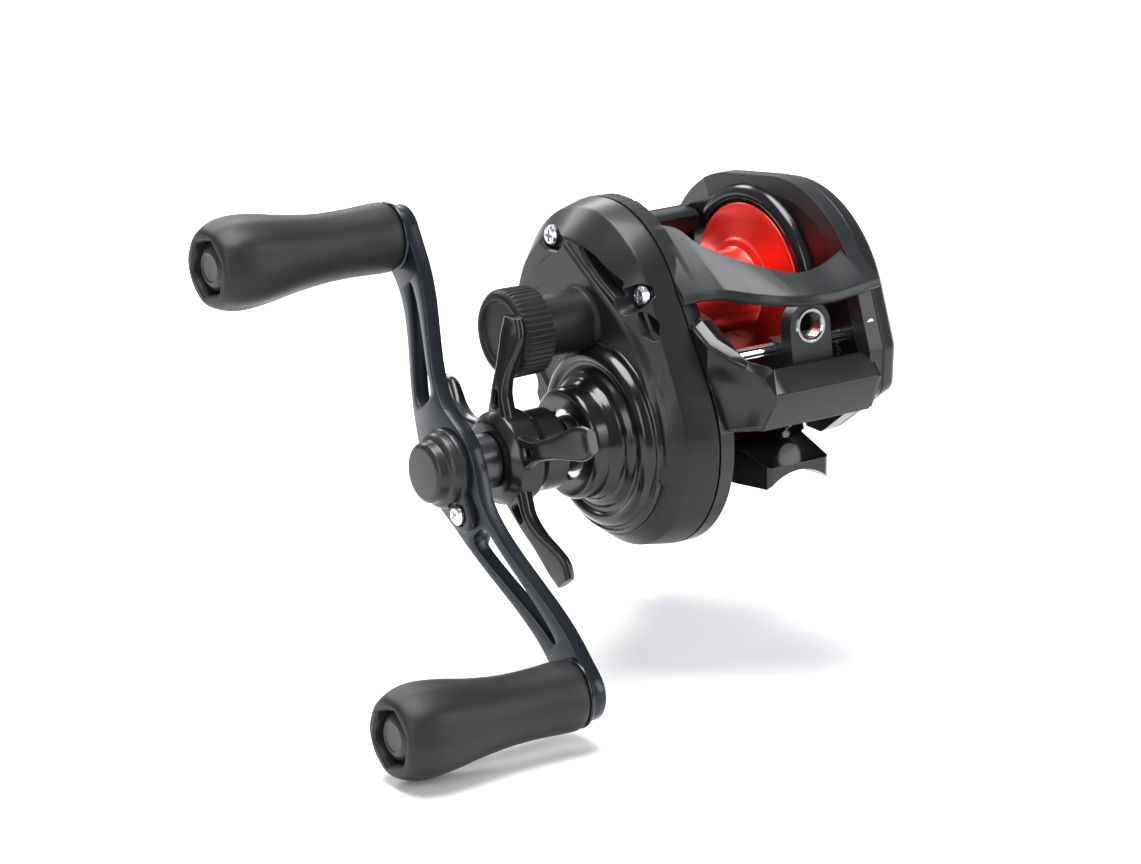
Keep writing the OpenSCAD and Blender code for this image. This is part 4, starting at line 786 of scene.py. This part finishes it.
def spool_body():
    half = 12.0
    shape = rounded_line([
        (-half + 1.2, 6.4), (-half, 14.1), (-half, 15.3), (-half + 0.35, 15.5), (-half + 0.9, 15.5),
        (-half + 1.25, 14.6), (-half + 1.7, 12.0), (-half + 2.4, 9.4), (-half + 2.9, 8.9),
        (-half + 3.2, 7.7), (-half + 4.0, 7.5), (half - 4.0, 7.5), (half - 3.2, 7.7),
        (half - 2.9, 8.9), (half - 2.4, 9.4), (half - 1.7, 12.0), (half - 1.25, 14.6),
        (half - 0.9, 15.5), (half - 0.35, 15.5), (half, 15.3),
        (half, 14.1), (half - 0.7, 13.7), (half - 1.3, 6.4), (half - 3.0, 6.2), (-half + 3.0, 6.2),
    ], 0.25, 3, True)
    spool = turned("spool_body", shape, SPOOL_AXIS, 160, True)
    web = [(-0.8, 1.5), (-0.8, 7.0), (0.8, 7.0), (0.8, 1.5)]
    hub = [(-11.8, 1.5), (-11.8, 3.0), (10.0, 3.0), (10.0, 1.5)]
    for name, profile in (("spool_web", web), ("spool_hub", hub)):
        made = turned(name, profile, SPOOL_AXIS, 96, True)
        dress(made, "spool_red", "spool")
    dress(spool, "spool_red", "spool", ["spool"])


def tension_knob():
    ribs = 46

    def wave(x, r, turn):
        if r < 7.6 or x < TENSION_OUT + 0.85:
            return 1.0
        return 1.0 - 0.045 * abs(math.sin(turn * ribs / 2)) ** 3

    shape = rounded_line([
        (TENSION_IN, 7.95), (TENSION_OUT + 1.0, 8.05), (TENSION_OUT, 7.2), (TENSION_OUT, 6.2),
        (TENSION_OUT + 0.75, 5.7), (TENSION_OUT + 0.75, 0.001),
    ], 0.35, 3)
    line = [(TENSION_OUT + 2.4, 0.001), (TENSION_OUT + 2.4, 6.1), (TENSION_IN, 6.1), shape[0]]
    for a, b in zip(shape, shape[1:]):
        parts = 6 if (b - a).length > 3 else 1
        line += [a + (b - a) * (k / parts) for k in range(1, parts + 1)]
    shell = turned("tension_knob_shell", line, SPOOL_AXIS, ribs * 12, wave=wave)
    dress(shell, "tension_matte", "cast_control", ["tension_knob"], 40)


def star_spot(lead, reach, aside):
    """A point of the star, as (Y, Z), along and beside an arm that stands at an angle."""
    c, s = math.cos(lead), math.sin(lead)
    return DRIVE_AXIS[0] + reach * c - aside * s, DRIVE_AXIS[1] + reach * s + aside * c


def star_arm(lead):
    plan = smooth_line([
        (6.0, 3.6), (9.0, 2.8), (12.0, 2.0), (16.0, 2.0), (19.0, 2.7), (22.0, 3.2), (25.0, 2.3),
    ], 5)
    rings = []
    for reach, half in plan:
        lift = 3.4 * blend_share(reach, 11.0, 24.0) - 0.4
        thick = 2.6 - 0.9 * blend_share(reach, 12.0, 24.0)
        section = rounded_line([
            (-half, thick * 0.35), (-half + 0.7, thick), (half - 0.7, thick), (half, thick * 0.35),
            (half - 0.25, -0.1), (half - 0.8, -0.35), (-half + 0.8, -0.35), (-half + 0.25, -0.1),
        ], 0.25, 2, True)
        squash = 1.0 if reach < 24.9 else 0.85
        rings.append([(STAR_PLANE - 1.0 + lift + p.y * squash, *star_spot(lead, reach, p.x))
                      for p in section])
    return skin("arm", rings)


def star():
    hub = rounded_line([
        (-50.5, 3.1), (-50.5, 6.8), (-48.9, 8.4), (-44.3, 8.4), (-42.7, 7.4), (-38.0, 7.4),
        (-38.0, 3.1),
    ], 0.4, 3, True)
    wheel = turned("star_wheel", hub, DRIVE_AXIS, 96, True)
    leads = [STAR_LEAD + 2 * math.pi * i / STAR_ARMS for i in range(STAR_ARMS)]
    combine(wheel, [star_arm(lead) for lead in leads], "UNION")
    notch = [(9.2, -1.0), (12.4, -0.5), (12.4, 0.5), (9.2, 1.0)]
    combine(wheel, [cutter([star_spot(lead, *p) for p in notch], STAR_PLANE - 0.3,
                           STAR_PLANE - 1.6, 0.3) for lead in leads])
    dress(wheel, "star_gloss", "star", ["star_drag"], 30)


def handle_arm():
    """The slotted arm, drawn flat with Z along it, then bent and tilted into place."""
    end, eye = HANDLE_HALF, 5.3
    side = smooth_line([
        (0, 8.4), (3.2, 7.8), (6.5, 6.5), (10, 5.3), (16, 4.55), (26, 4.1), (36, 4.2), (41, 4.7),
    ], 4)
    for k in range(12):
        turn = math.radians(100 - 100 * k / 12)
        side.append(Vector((end + eye * math.cos(turn) if k else end - 0.9, eye * math.sin(turn))))
    side.append(Vector((end + eye, 0)))
    ring = side + [Vector((p.x, -p.y)) for p in reversed(side[:-1])]
    left = [Vector((-p.x, p.y)) for p in reversed(ring)]
    outline = ring[:-1] + left[:-1]
    arm = skin("handle_arm_shell", [[(x, p.y, p.x) for p in outline] for x in (0.0, ARM_T)])

    cuts = []
    edge = [(12.6, 1.5), (13.4, 2.5), (15, 2.75), (24, 1.9), (34.6, 0.75), (35.6, 0.35)]
    slot = edge + [(along, -aside) for along, aside in reversed(edge)]
    for way in (-1, 1):
        shape = rounded_line([(aside, way * along) for along, aside in slot], 0.5, 2, True)
        cuts.append(make_object("slot", prism(shape, -2, ARM_T + 2)))
        bore = [(-2, 0), (-2, 2.25), (ARM_T + 2, 2.25), (ARM_T + 2, 0)]
        cuts.append(turned("bore", bore, (0, way * end), 40))
    cuts.append(turned("bore", [(-2, 0), (-2, 2.3), (5, 2.3), (5, 0)], (0, 0), 40))
    combine(arm, cuts)
    soften(arm, 0.42, 2, 40)

    # Cut across at each millimetre, so that the bend is smooth
    bm = bmesh.new()
    bm.from_mesh(arm.data)
    for k in range(-50, 51):
        bmesh.ops.bisect_plane(bm, geom=bm.verts[:] + bm.edges[:] + bm.faces[:],
                               plane_co=(0, 0, k * MM), plane_no=(0, 0, 1), dist=1e-7)
    for vert in bm.verts:
        share = blend_share(abs(vert.co.z) / MM, 7.0, 39.5)
        vert.co.x += (HUB_OUT + (ARM_END - HUB_OUT) * share) * MM
    bm.to_mesh(arm.data)
    bm.free()
    onto_handle(arm)
    dress(arm, "arm_anodised", "handle", ["handle_arm"], 30)


def nut_cap():
    plate = []
    for k in range(25):
        turn = math.radians(-62 + 304 * k / 24)
        plate.append(Vector((7.3 * math.cos(turn), 7.3 * math.sin(turn))))
    tip = []
    for degrees in range(205, 336, 13):
        turn = math.radians(degrees)
        tip.append(Vector((3.1 * math.cos(turn), -8.9 + 3.1 * math.sin(turn))))
    layers = ((-0.02, -0.1), (-0.9, 0.0), (-1.3, -0.2), (-1.45, -0.65))
    cap = skin("nut_cap_shell", [[(HUB_OUT + x, p.x, p.y) for p in grown(plate + tip, amount)]
                                 for x, amount in layers])

    def tool(name, profile, centre, sides):
        return turned(name, [(HUB_OUT + x, reach) for x, reach in profile], centre, sides)

    dome = rounded_line([
        (-0.4, 6.9), (-2.4, 6.7), (-3.0, 6.2), (-3.2, 5.55), (-4.8, 5.35), (-5.35, 4.6),
        (-5.4, 0.001),
    ], 0.35, 3)
    seat = [(-0.9, 0), (-0.9, 1.95), (-1.3, 2.0), (-1.7, 2.4), (-4, 2.4), (-4, 0)]
    inside = [(1, 0), (1, 5.05), (-2.62, 5.05), (-2.62, 2.4), (-4.8, 2.4), (-4.8, 0)]
    combine(cap, [tool("dome", [(-0.4, 0.001), *dome], (0, 0), 96)], "UNION")
    combine(cap, [tool("seat", seat, (0, -8.8), 40), tool("inside", inside, (0, 0), 48)])
    onto_handle(cap)
    dress(cap, "cap_plastic", "handle", ["nut_cap"], 30)


def knob(name, side):
    """One waisted handle knob with its end cap; its body and its CAD node share its name."""
    axis = knob_centre(side)
    r = 8.4
    length = KNOB_IN - KNOB_OUT
    stations = [
        (0.0, 0.70), (0.012, 0.735), (0.03, 0.755), (0.09, 0.755), (0.16, 0.74), (0.27, 0.73),
        (0.4, 0.75), (0.55, 0.83), (0.69, 0.94), (0.81, 1.0), (0.89, 0.985), (0.94, 0.93),
        (0.975, 0.86), (0.992, 0.8), (1.0, 0.74),
    ]
    outer = smooth_line([(KNOB_IN - s * length, f * r) for s, f in stations], 4)

    def lobed(x, turn):
        s = (KNOB_IN - x) / length
        swell = blend_share(s, 0.35, 0.8) * (1 - 0.5 * blend_share(s, 0.93, 1.0))
        lobe, groove = math.cos(5 * turn + 0.6), 1 - math.cos(10 * turn)
        return 1.0 + 0.022 * swell * lobe - 0.010 * swell * groove

    def six_sided(turn):
        facet = math.cos(math.pi / 6) / math.cos((turn + 0.3) % (math.pi / 3) - math.pi / 6)
        return 1.0 + (facet - 0.93) * 0.9

    bm = bmesh.new()
    sides = 120
    rings = []
    recess = [(KNOB_OUT, 0.66), (KNOB_OUT + 0.35, 0.61), (KNOB_OUT + 1.2, 0.59),
              (KNOB_OUT + 4.6, 0.575)]
    line = [(KNOB_IN, 3.9)] + [(p.x, p.y) for p in outer] + [(x, f * r) for x, f in recess]
    line += [(KNOB_OUT + 4.7, 2.7), (KNOB_IN, 2.7)]
    first_recess = 1 + len(outer)
    for index, (x, reach) in enumerate(line):
        ring = []
        in_mouth = first_recess <= index < first_recess + len(recess)
        for i in range(sides):
            turn = 2 * math.pi * i / sides
            scale = 1.0
            if in_mouth:
                scale = six_sided(turn)
            elif 0 < index < first_recess:
                scale = lobed(x, turn)
            out = reach * scale
            ring.append((x, axis[0] + out * math.cos(turn), axis[1] + out * math.sin(turn)))
        rings.append(ring)
    rings.append(rings[0])
    bridge(bm, rings, cap_first=False, cap_last=False)
    bmesh.ops.remove_doubles(bm, verts=bm.verts, dist=1e-4)
    bmesh.ops.recalc_face_normals(bm, faces=bm.faces)
    dress(make_object(name + "_grip", bm), "knob_rubber", name, [name], 38)

    cap = rounded_line([
        (5.0, 3.9), (5.0, 4.7), (2.3, 4.65), (1.5, 4.2), (0.75, 3.3), (0.5, 2.6), (0.72, 2.3),
        (0.72, 0.001),
    ], 0.3, 3)
    profile = [(KNOB_OUT + x, reach) for x, reach in ((3.4, 0.001), (3.4, 3.9), *cap)]
    made = turned(name + "_end_cap", profile, axis, 72)
    dress(made, "cap_plastic", name, [name + "_cap"], 34)


def knob_collars():
    for side, word in ((1, "upper"), (-1, "lower")):
        shape = rounded_line([
            (ARM_END - 0.02, 2.3), (ARM_END - 0.02, 6.0), (ARM_END - 0.3, 6.25),
            (ARM_END - 0.72, 6.1), (ARM_END - 0.86, 5.6), (ARM_END - 0.86, 2.3),
        ], 0.2, 2, True)
        made = turned(word + "_knob_collar", shape, knob_centre(side), 72, True)
        dress(made, "cover_gloss", "handle")


def inner_ring():
    """Gloss ring round the top and rear of the spool's flange on the palm side."""
    shape = rounded_line([
        (11.0, 16.25), (11.0, 17.4), (11.6, 18.4), (12.75, 18.9), (12.75, 16.25),
    ], 0.3, 3, True)
    steps = 96
    rings = []
    for k in range(steps + 1):
        turn = math.radians(38 + 174 * k / steps)
        c, s = math.cos(turn), math.sin(turn)
        rings.append([(p.x, SPOOL_AXIS[0] + p.y * c, SPOOL_AXIS[1] + p.y * s) for p in shape])
    dress(skin("palm_inner_ring", rings), "cover_gloss", "frame")


def thumb_pad():
    """Ribbed skin over the top and rear of the thumb bar."""
    edge = [Vector(p) for p in ((17.86, 35.16), (20.9, 35.24), (25.14, 32.78), (27.16, 29.1))]
    outline = [Vector((16.9, 32.0)), Vector((16.62, 34.34)), edge[0]]
    for (start, end), count in zip(zip(edge[1:], edge[2:]), (4, 3)):
        along = (end - start).normalized()
        out = Vector((-along.y, along.x))
        if out.y < 0:
            out = -out
        for k in range(count):
            for share, lift in ((0.25, 0.02), (0.4, 0.36), (0.65, 0.36), (0.8, 0.02)):
                outline.append(start.lerp(end, (k + share) / count) + out * lift)
    underside = ((27.0, 28.2), (26.2, 28.4), (24.2, 31.6), (20.5, 33.4), (17.8, 33.2))
    outline += [Vector(p) for p in underside]
    pad = make_object("thumb_pad", prism(outline, -11.9, 11.9))
    soften(pad, 0.16, 2, 25)
    dress(pad, "grip_matte", "thumb_bar", (), 30)


def finish_cad_nodes():
    for name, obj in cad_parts.items():
        obj.data.materials.clear()
        obj.data.materials.append(FINISHES[NODE_FINISHES[name]])


# The frame's size, the lens and the hub's place in the frame, all in the frame's own units
FRAME_WIDTH = 1141.0
FRAME_HEIGHT = 864.0
FOCAL_LENGTH = 5000.0
HUB_IN_FRAME = (481.5, 461.5)


def camera_for(sizes):
    """A long lens aimed so that a chosen point of the reel falls where it should."""
    width, height, focal = FRAME_WIDTH, FRAME_HEIGHT, FOCAL_LENGTH
    azimuth, elevation = math.radians(sizes.azimuth), math.radians(sizes.elevation)
    back = Vector((
        math.sin(azimuth) * math.cos(elevation), -math.cos(azimuth) * math.cos(elevation),
        math.sin(elevation),
    ))
    right = Vector((math.cos(azimuth), math.sin(azimuth), 0))
    up = back.cross(right)
    distance = sizes.distance
    across = (HUB_IN_FRAME[0] - width / 2) * distance / focal
    down = -(HUB_IN_FRAME[1] - height / 2) * distance / focal
    target = Vector((-52, *DRIVE_AXIS)) * MM
    data = bpy.data.cameras.new("studio_camera")
    camera = bpy.data.objects.new("studio_camera", data)
    bpy.context.scene.collection.objects.link(camera)
    data.sensor_width = 36.0
    data.lens = 36.0 * focal / width
    data.clip_start, data.clip_end = 0.05, 50
    camera.location = target + back * distance - right * across - up * down
    camera.matrix_world = Matrix.Translation(camera.location) @ Matrix((
        (right.x, up.x, back.x), (right.y, up.y, back.y), (right.z, up.z, back.z),
    )).to_4x4()
    bpy.context.scene.camera = camera


def light(name, place, aim, size, power, colour=(1, 1, 1), height=None):
    data = bpy.data.lights.new(name, "AREA")
    data.shape = "RECTANGLE"
    data.size, data.size_y = size, height or size
    data.energy = power
    data.color = colour
    obj = bpy.data.objects.new(name, data)
    bpy.context.scene.collection.objects.link(obj)
    obj.location = place
    obj.rotation_mode = "QUATERNION"
    obj.rotation_quaternion = (Vector(aim) - Vector(place)).to_track_quat("-Z", "Y")


def stage_set(sizes):
    bm = bmesh.new()
    low = CAD_BOUNDS[0].z / MM - 0.6
    steps = 24
    marks = [-1500 + 3000 * i / steps for i in range(steps + 1)]
    bridge(bm, [[(x, y, low) for x in marks] for y in marks], around=False, cap_first=False,
           cap_last=False)
    floor = make_object("floor", bm)
    floor.data.materials.append(floor_finish())
    aim = (-0.03, 0, 0.01)
    light("overhead_softbox", (-0.1, 0.1, 0.9), aim, 0.7, sizes.key_power, height=0.5)
    light("front_softbox", (-0.75, -0.5, 0.35), aim, 0.35, sizes.key_power * 0.22, height=0.6)
    light("right_softbox", (0.6, -0.75, 0.35), aim, 0.3, sizes.key_power * 0.3, height=0.6)
    light("back_strip", (0.1, 0.8, 0.5), aim, 0.8, sizes.key_power * 0.35, height=0.25)
    world = bpy.data.worlds.new("studio")
    world.use_nodes = True
    sky = world.node_tree.nodes["Background"]
    sky.inputs["Color"].default_value = (0.9, 0.93, 1.0, 1.0)
    sky.inputs["Strength"].default_value = sizes.sky
    bpy.context.scene.world = world
    bpy.context.scene.view_settings.view_transform = "Standard"


# ---------- The add-on ----------


class ReelSizes(bpy.types.PropertyGroup):
    """Colours that a user may change."""

    body_colour: bpy.props.FloatVectorProperty(
        name="Body colour", description="Colour of the two side covers", subtype="COLOR", size=3,
        default=(0.01, 0.0105, 0.0115), min=0, max=1)
    hood_colour: bpy.props.FloatVectorProperty(
        name="Hood colour", description="Colour of the hood and front bar", subtype="COLOR", size=3,
        default=(0.017, 0.0176, 0.019), min=0, max=1)
    spool_colour: bpy.props.FloatVectorProperty(
        name="Spool colour", description="Colour of the anodised spool", subtype="COLOR", size=3,
        default=(0.82, 0.03, 0.018), min=0, max=1)


class StudioSizes(bpy.types.PropertyGroup):
    """Camera and light settings."""

    azimuth: bpy.props.FloatProperty(
        name="Camera azimuth", description="Angle round the reel, in degrees", default=-34.5)
    elevation: bpy.props.FloatProperty(
        name="Camera elevation", description="Angle above the horizon, in degrees", default=17.8)
    distance: bpy.props.FloatProperty(
        name="Camera distance", description="From the camera to the handle's hub", default=0.878,
        unit="LENGTH")
    key_power: bpy.props.FloatProperty(
        name="Softbox power", description="Power of the overhead softbox, in watts",
        default=16.0, min=0)
    sky: bpy.props.FloatProperty(
        name="Room light", description="Strength of the even light all round", default=0.42, min=0)


class REEL_OT_finishes(bpy.types.Operator):
    """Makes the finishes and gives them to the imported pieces"""

    bl_idname = "reel.finishes"
    bl_label = "Finishes"
    bl_options = {"REGISTER", "UNDO"}

    def execute(self, context):
        make_finishes(context.scene.reel_sizes)
        finish_cad_nodes()
        return {"FINISHED"}


class REEL_OT_gear_cover(bpy.types.Operator):
    """Draws the gear-side cover, dome and boss"""

    bl_idname = "reel.gear_cover"
    bl_label = "Gear-side cover"
    bl_options = {"REGISTER", "UNDO"}

    def execute(self, context):
        gear_cover()
        return {"FINISHED"}


class REEL_OT_front_corner(bpy.types.Operator):
    """Draws the front corner and the front bar"""

    bl_idname = "reel.front_corner"
    bl_label = "Front corner and bar"
    bl_options = {"REGISTER", "UNDO"}

    def execute(self, context):
        front_corner()
        return {"FINISHED"}


class REEL_OT_hood(bpy.types.Operator):
    """Draws the hood over the line guide"""

    bl_idname = "reel.hood"
    bl_label = "Hood"
    bl_options = {"REGISTER", "UNDO"}

    def execute(self, context):
        hood()
        return {"FINISHED"}


class REEL_OT_palm_side(bpy.types.Operator):
    """Draws the palm-side cover and the ring round the spool"""

    bl_idname = "reel.palm_side"
    bl_label = "Palm side"
    bl_options = {"REGISTER", "UNDO"}

    def execute(self, context):
        palm_side()
        inner_ring()
        return {"FINISHED"}


class REEL_OT_spool(bpy.types.Operator):
    """Draws the turned spool"""

    bl_idname = "reel.spool"
    bl_label = "Spool"
    bl_options = {"REGISTER", "UNDO"}

    def execute(self, context):
        spool_body()
        return {"FINISHED"}


class REEL_OT_thumb_pad(bpy.types.Operator):
    """Draws the ribbed pad on the thumb bar"""

    bl_idname = "reel.thumb_pad"
    bl_label = "Thumb bar pad"
    bl_options = {"REGISTER", "UNDO"}

    def execute(self, context):
        thumb_pad()
        return {"FINISHED"}


class REEL_OT_tension_knob(bpy.types.Operator):
    """Draws the ribbed cast-control knob"""

    bl_idname = "reel.tension_knob"
    bl_label = "Cast-control knob"
    bl_options = {"REGISTER", "UNDO"}

    def execute(self, context):
        tension_knob()
        return {"FINISHED"}


class REEL_OT_star(bpy.types.Operator):
    """Draws the star drag"""

    bl_idname = "reel.star"
    bl_label = "Star drag"
    bl_options = {"REGISTER", "UNDO"}

    def execute(self, context):
        star()
        return {"FINISHED"}


class REEL_OT_handle(bpy.types.Operator):
    """Draws the handle arm, the nut cap and the knob collars"""

    bl_idname = "reel.handle"
    bl_label = "Handle"
    bl_options = {"REGISTER", "UNDO"}

    def execute(self, context):
        handle_arm()
        nut_cap()
        knob_collars()
        return {"FINISHED"}


class REEL_OT_knobs(bpy.types.Operator):
    """Draws both handle knobs and their end caps"""

    bl_idname = "reel.knobs"
    bl_label = "Handle knobs"
    bl_options = {"REGISTER", "UNDO"}

    def execute(self, context):
        knob("upper_knob", 1)
        knob("lower_knob", -1)
        return {"FINISHED"}


class REEL_OT_stage(bpy.types.Operator):
    """Sets the camera, floor and lights"""

    bl_idname = "reel.stage"
    bl_label = "Studio"
    bl_options = {"REGISTER", "UNDO"}

    def execute(self, context):
        camera_for(context.scene.reel_studio)
        stage_set(context.scene.reel_studio)
        return {"FINISHED"}


OPERATORS = [
    REEL_OT_finishes, REEL_OT_gear_cover, REEL_OT_front_corner, REEL_OT_hood,
    REEL_OT_palm_side, REEL_OT_spool, REEL_OT_thumb_pad, REEL_OT_tension_knob, REEL_OT_star,
    REEL_OT_handle, REEL_OT_knobs, REEL_OT_stage,
]


class REEL_PT_panel(bpy.types.Panel):
    """Lists the reel's pieces in the sidebar."""

    bl_label = "Reel"
    bl_idname = "REEL_PT_panel"
    bl_space_type = "VIEW_3D"
    bl_region_type = "UI"
    bl_category = "Reel"

    def draw(self, context):
        for group in (context.scene.reel_sizes, context.scene.reel_studio):
            for key in group.__annotations__:
                self.layout.prop(group, key)
        for made in OPERATORS:
            self.layout.operator(made.bl_idname)


CLASSES = [ReelSizes, StudioSizes, *OPERATORS, REEL_PT_panel]


def register():
    for made in CLASSES:
        bpy.utils.register_class(made)
    bpy.types.Scene.reel_sizes = bpy.props.PointerProperty(type=ReelSizes)
    bpy.types.Scene.reel_studio = bpy.props.PointerProperty(type=StudioSizes)


def unregister():
    del bpy.types.Scene.reel_studio
    del bpy.types.Scene.reel_sizes
    for made in reversed(CLASSES):
        bpy.utils.unregister_class(made)


def main():
    register()
    for made in OPERATORS:
        group, name = made.bl_idname.split(".")
        getattr(getattr(bpy.ops, group), name)()


if __name__ == "__main__":
    main()
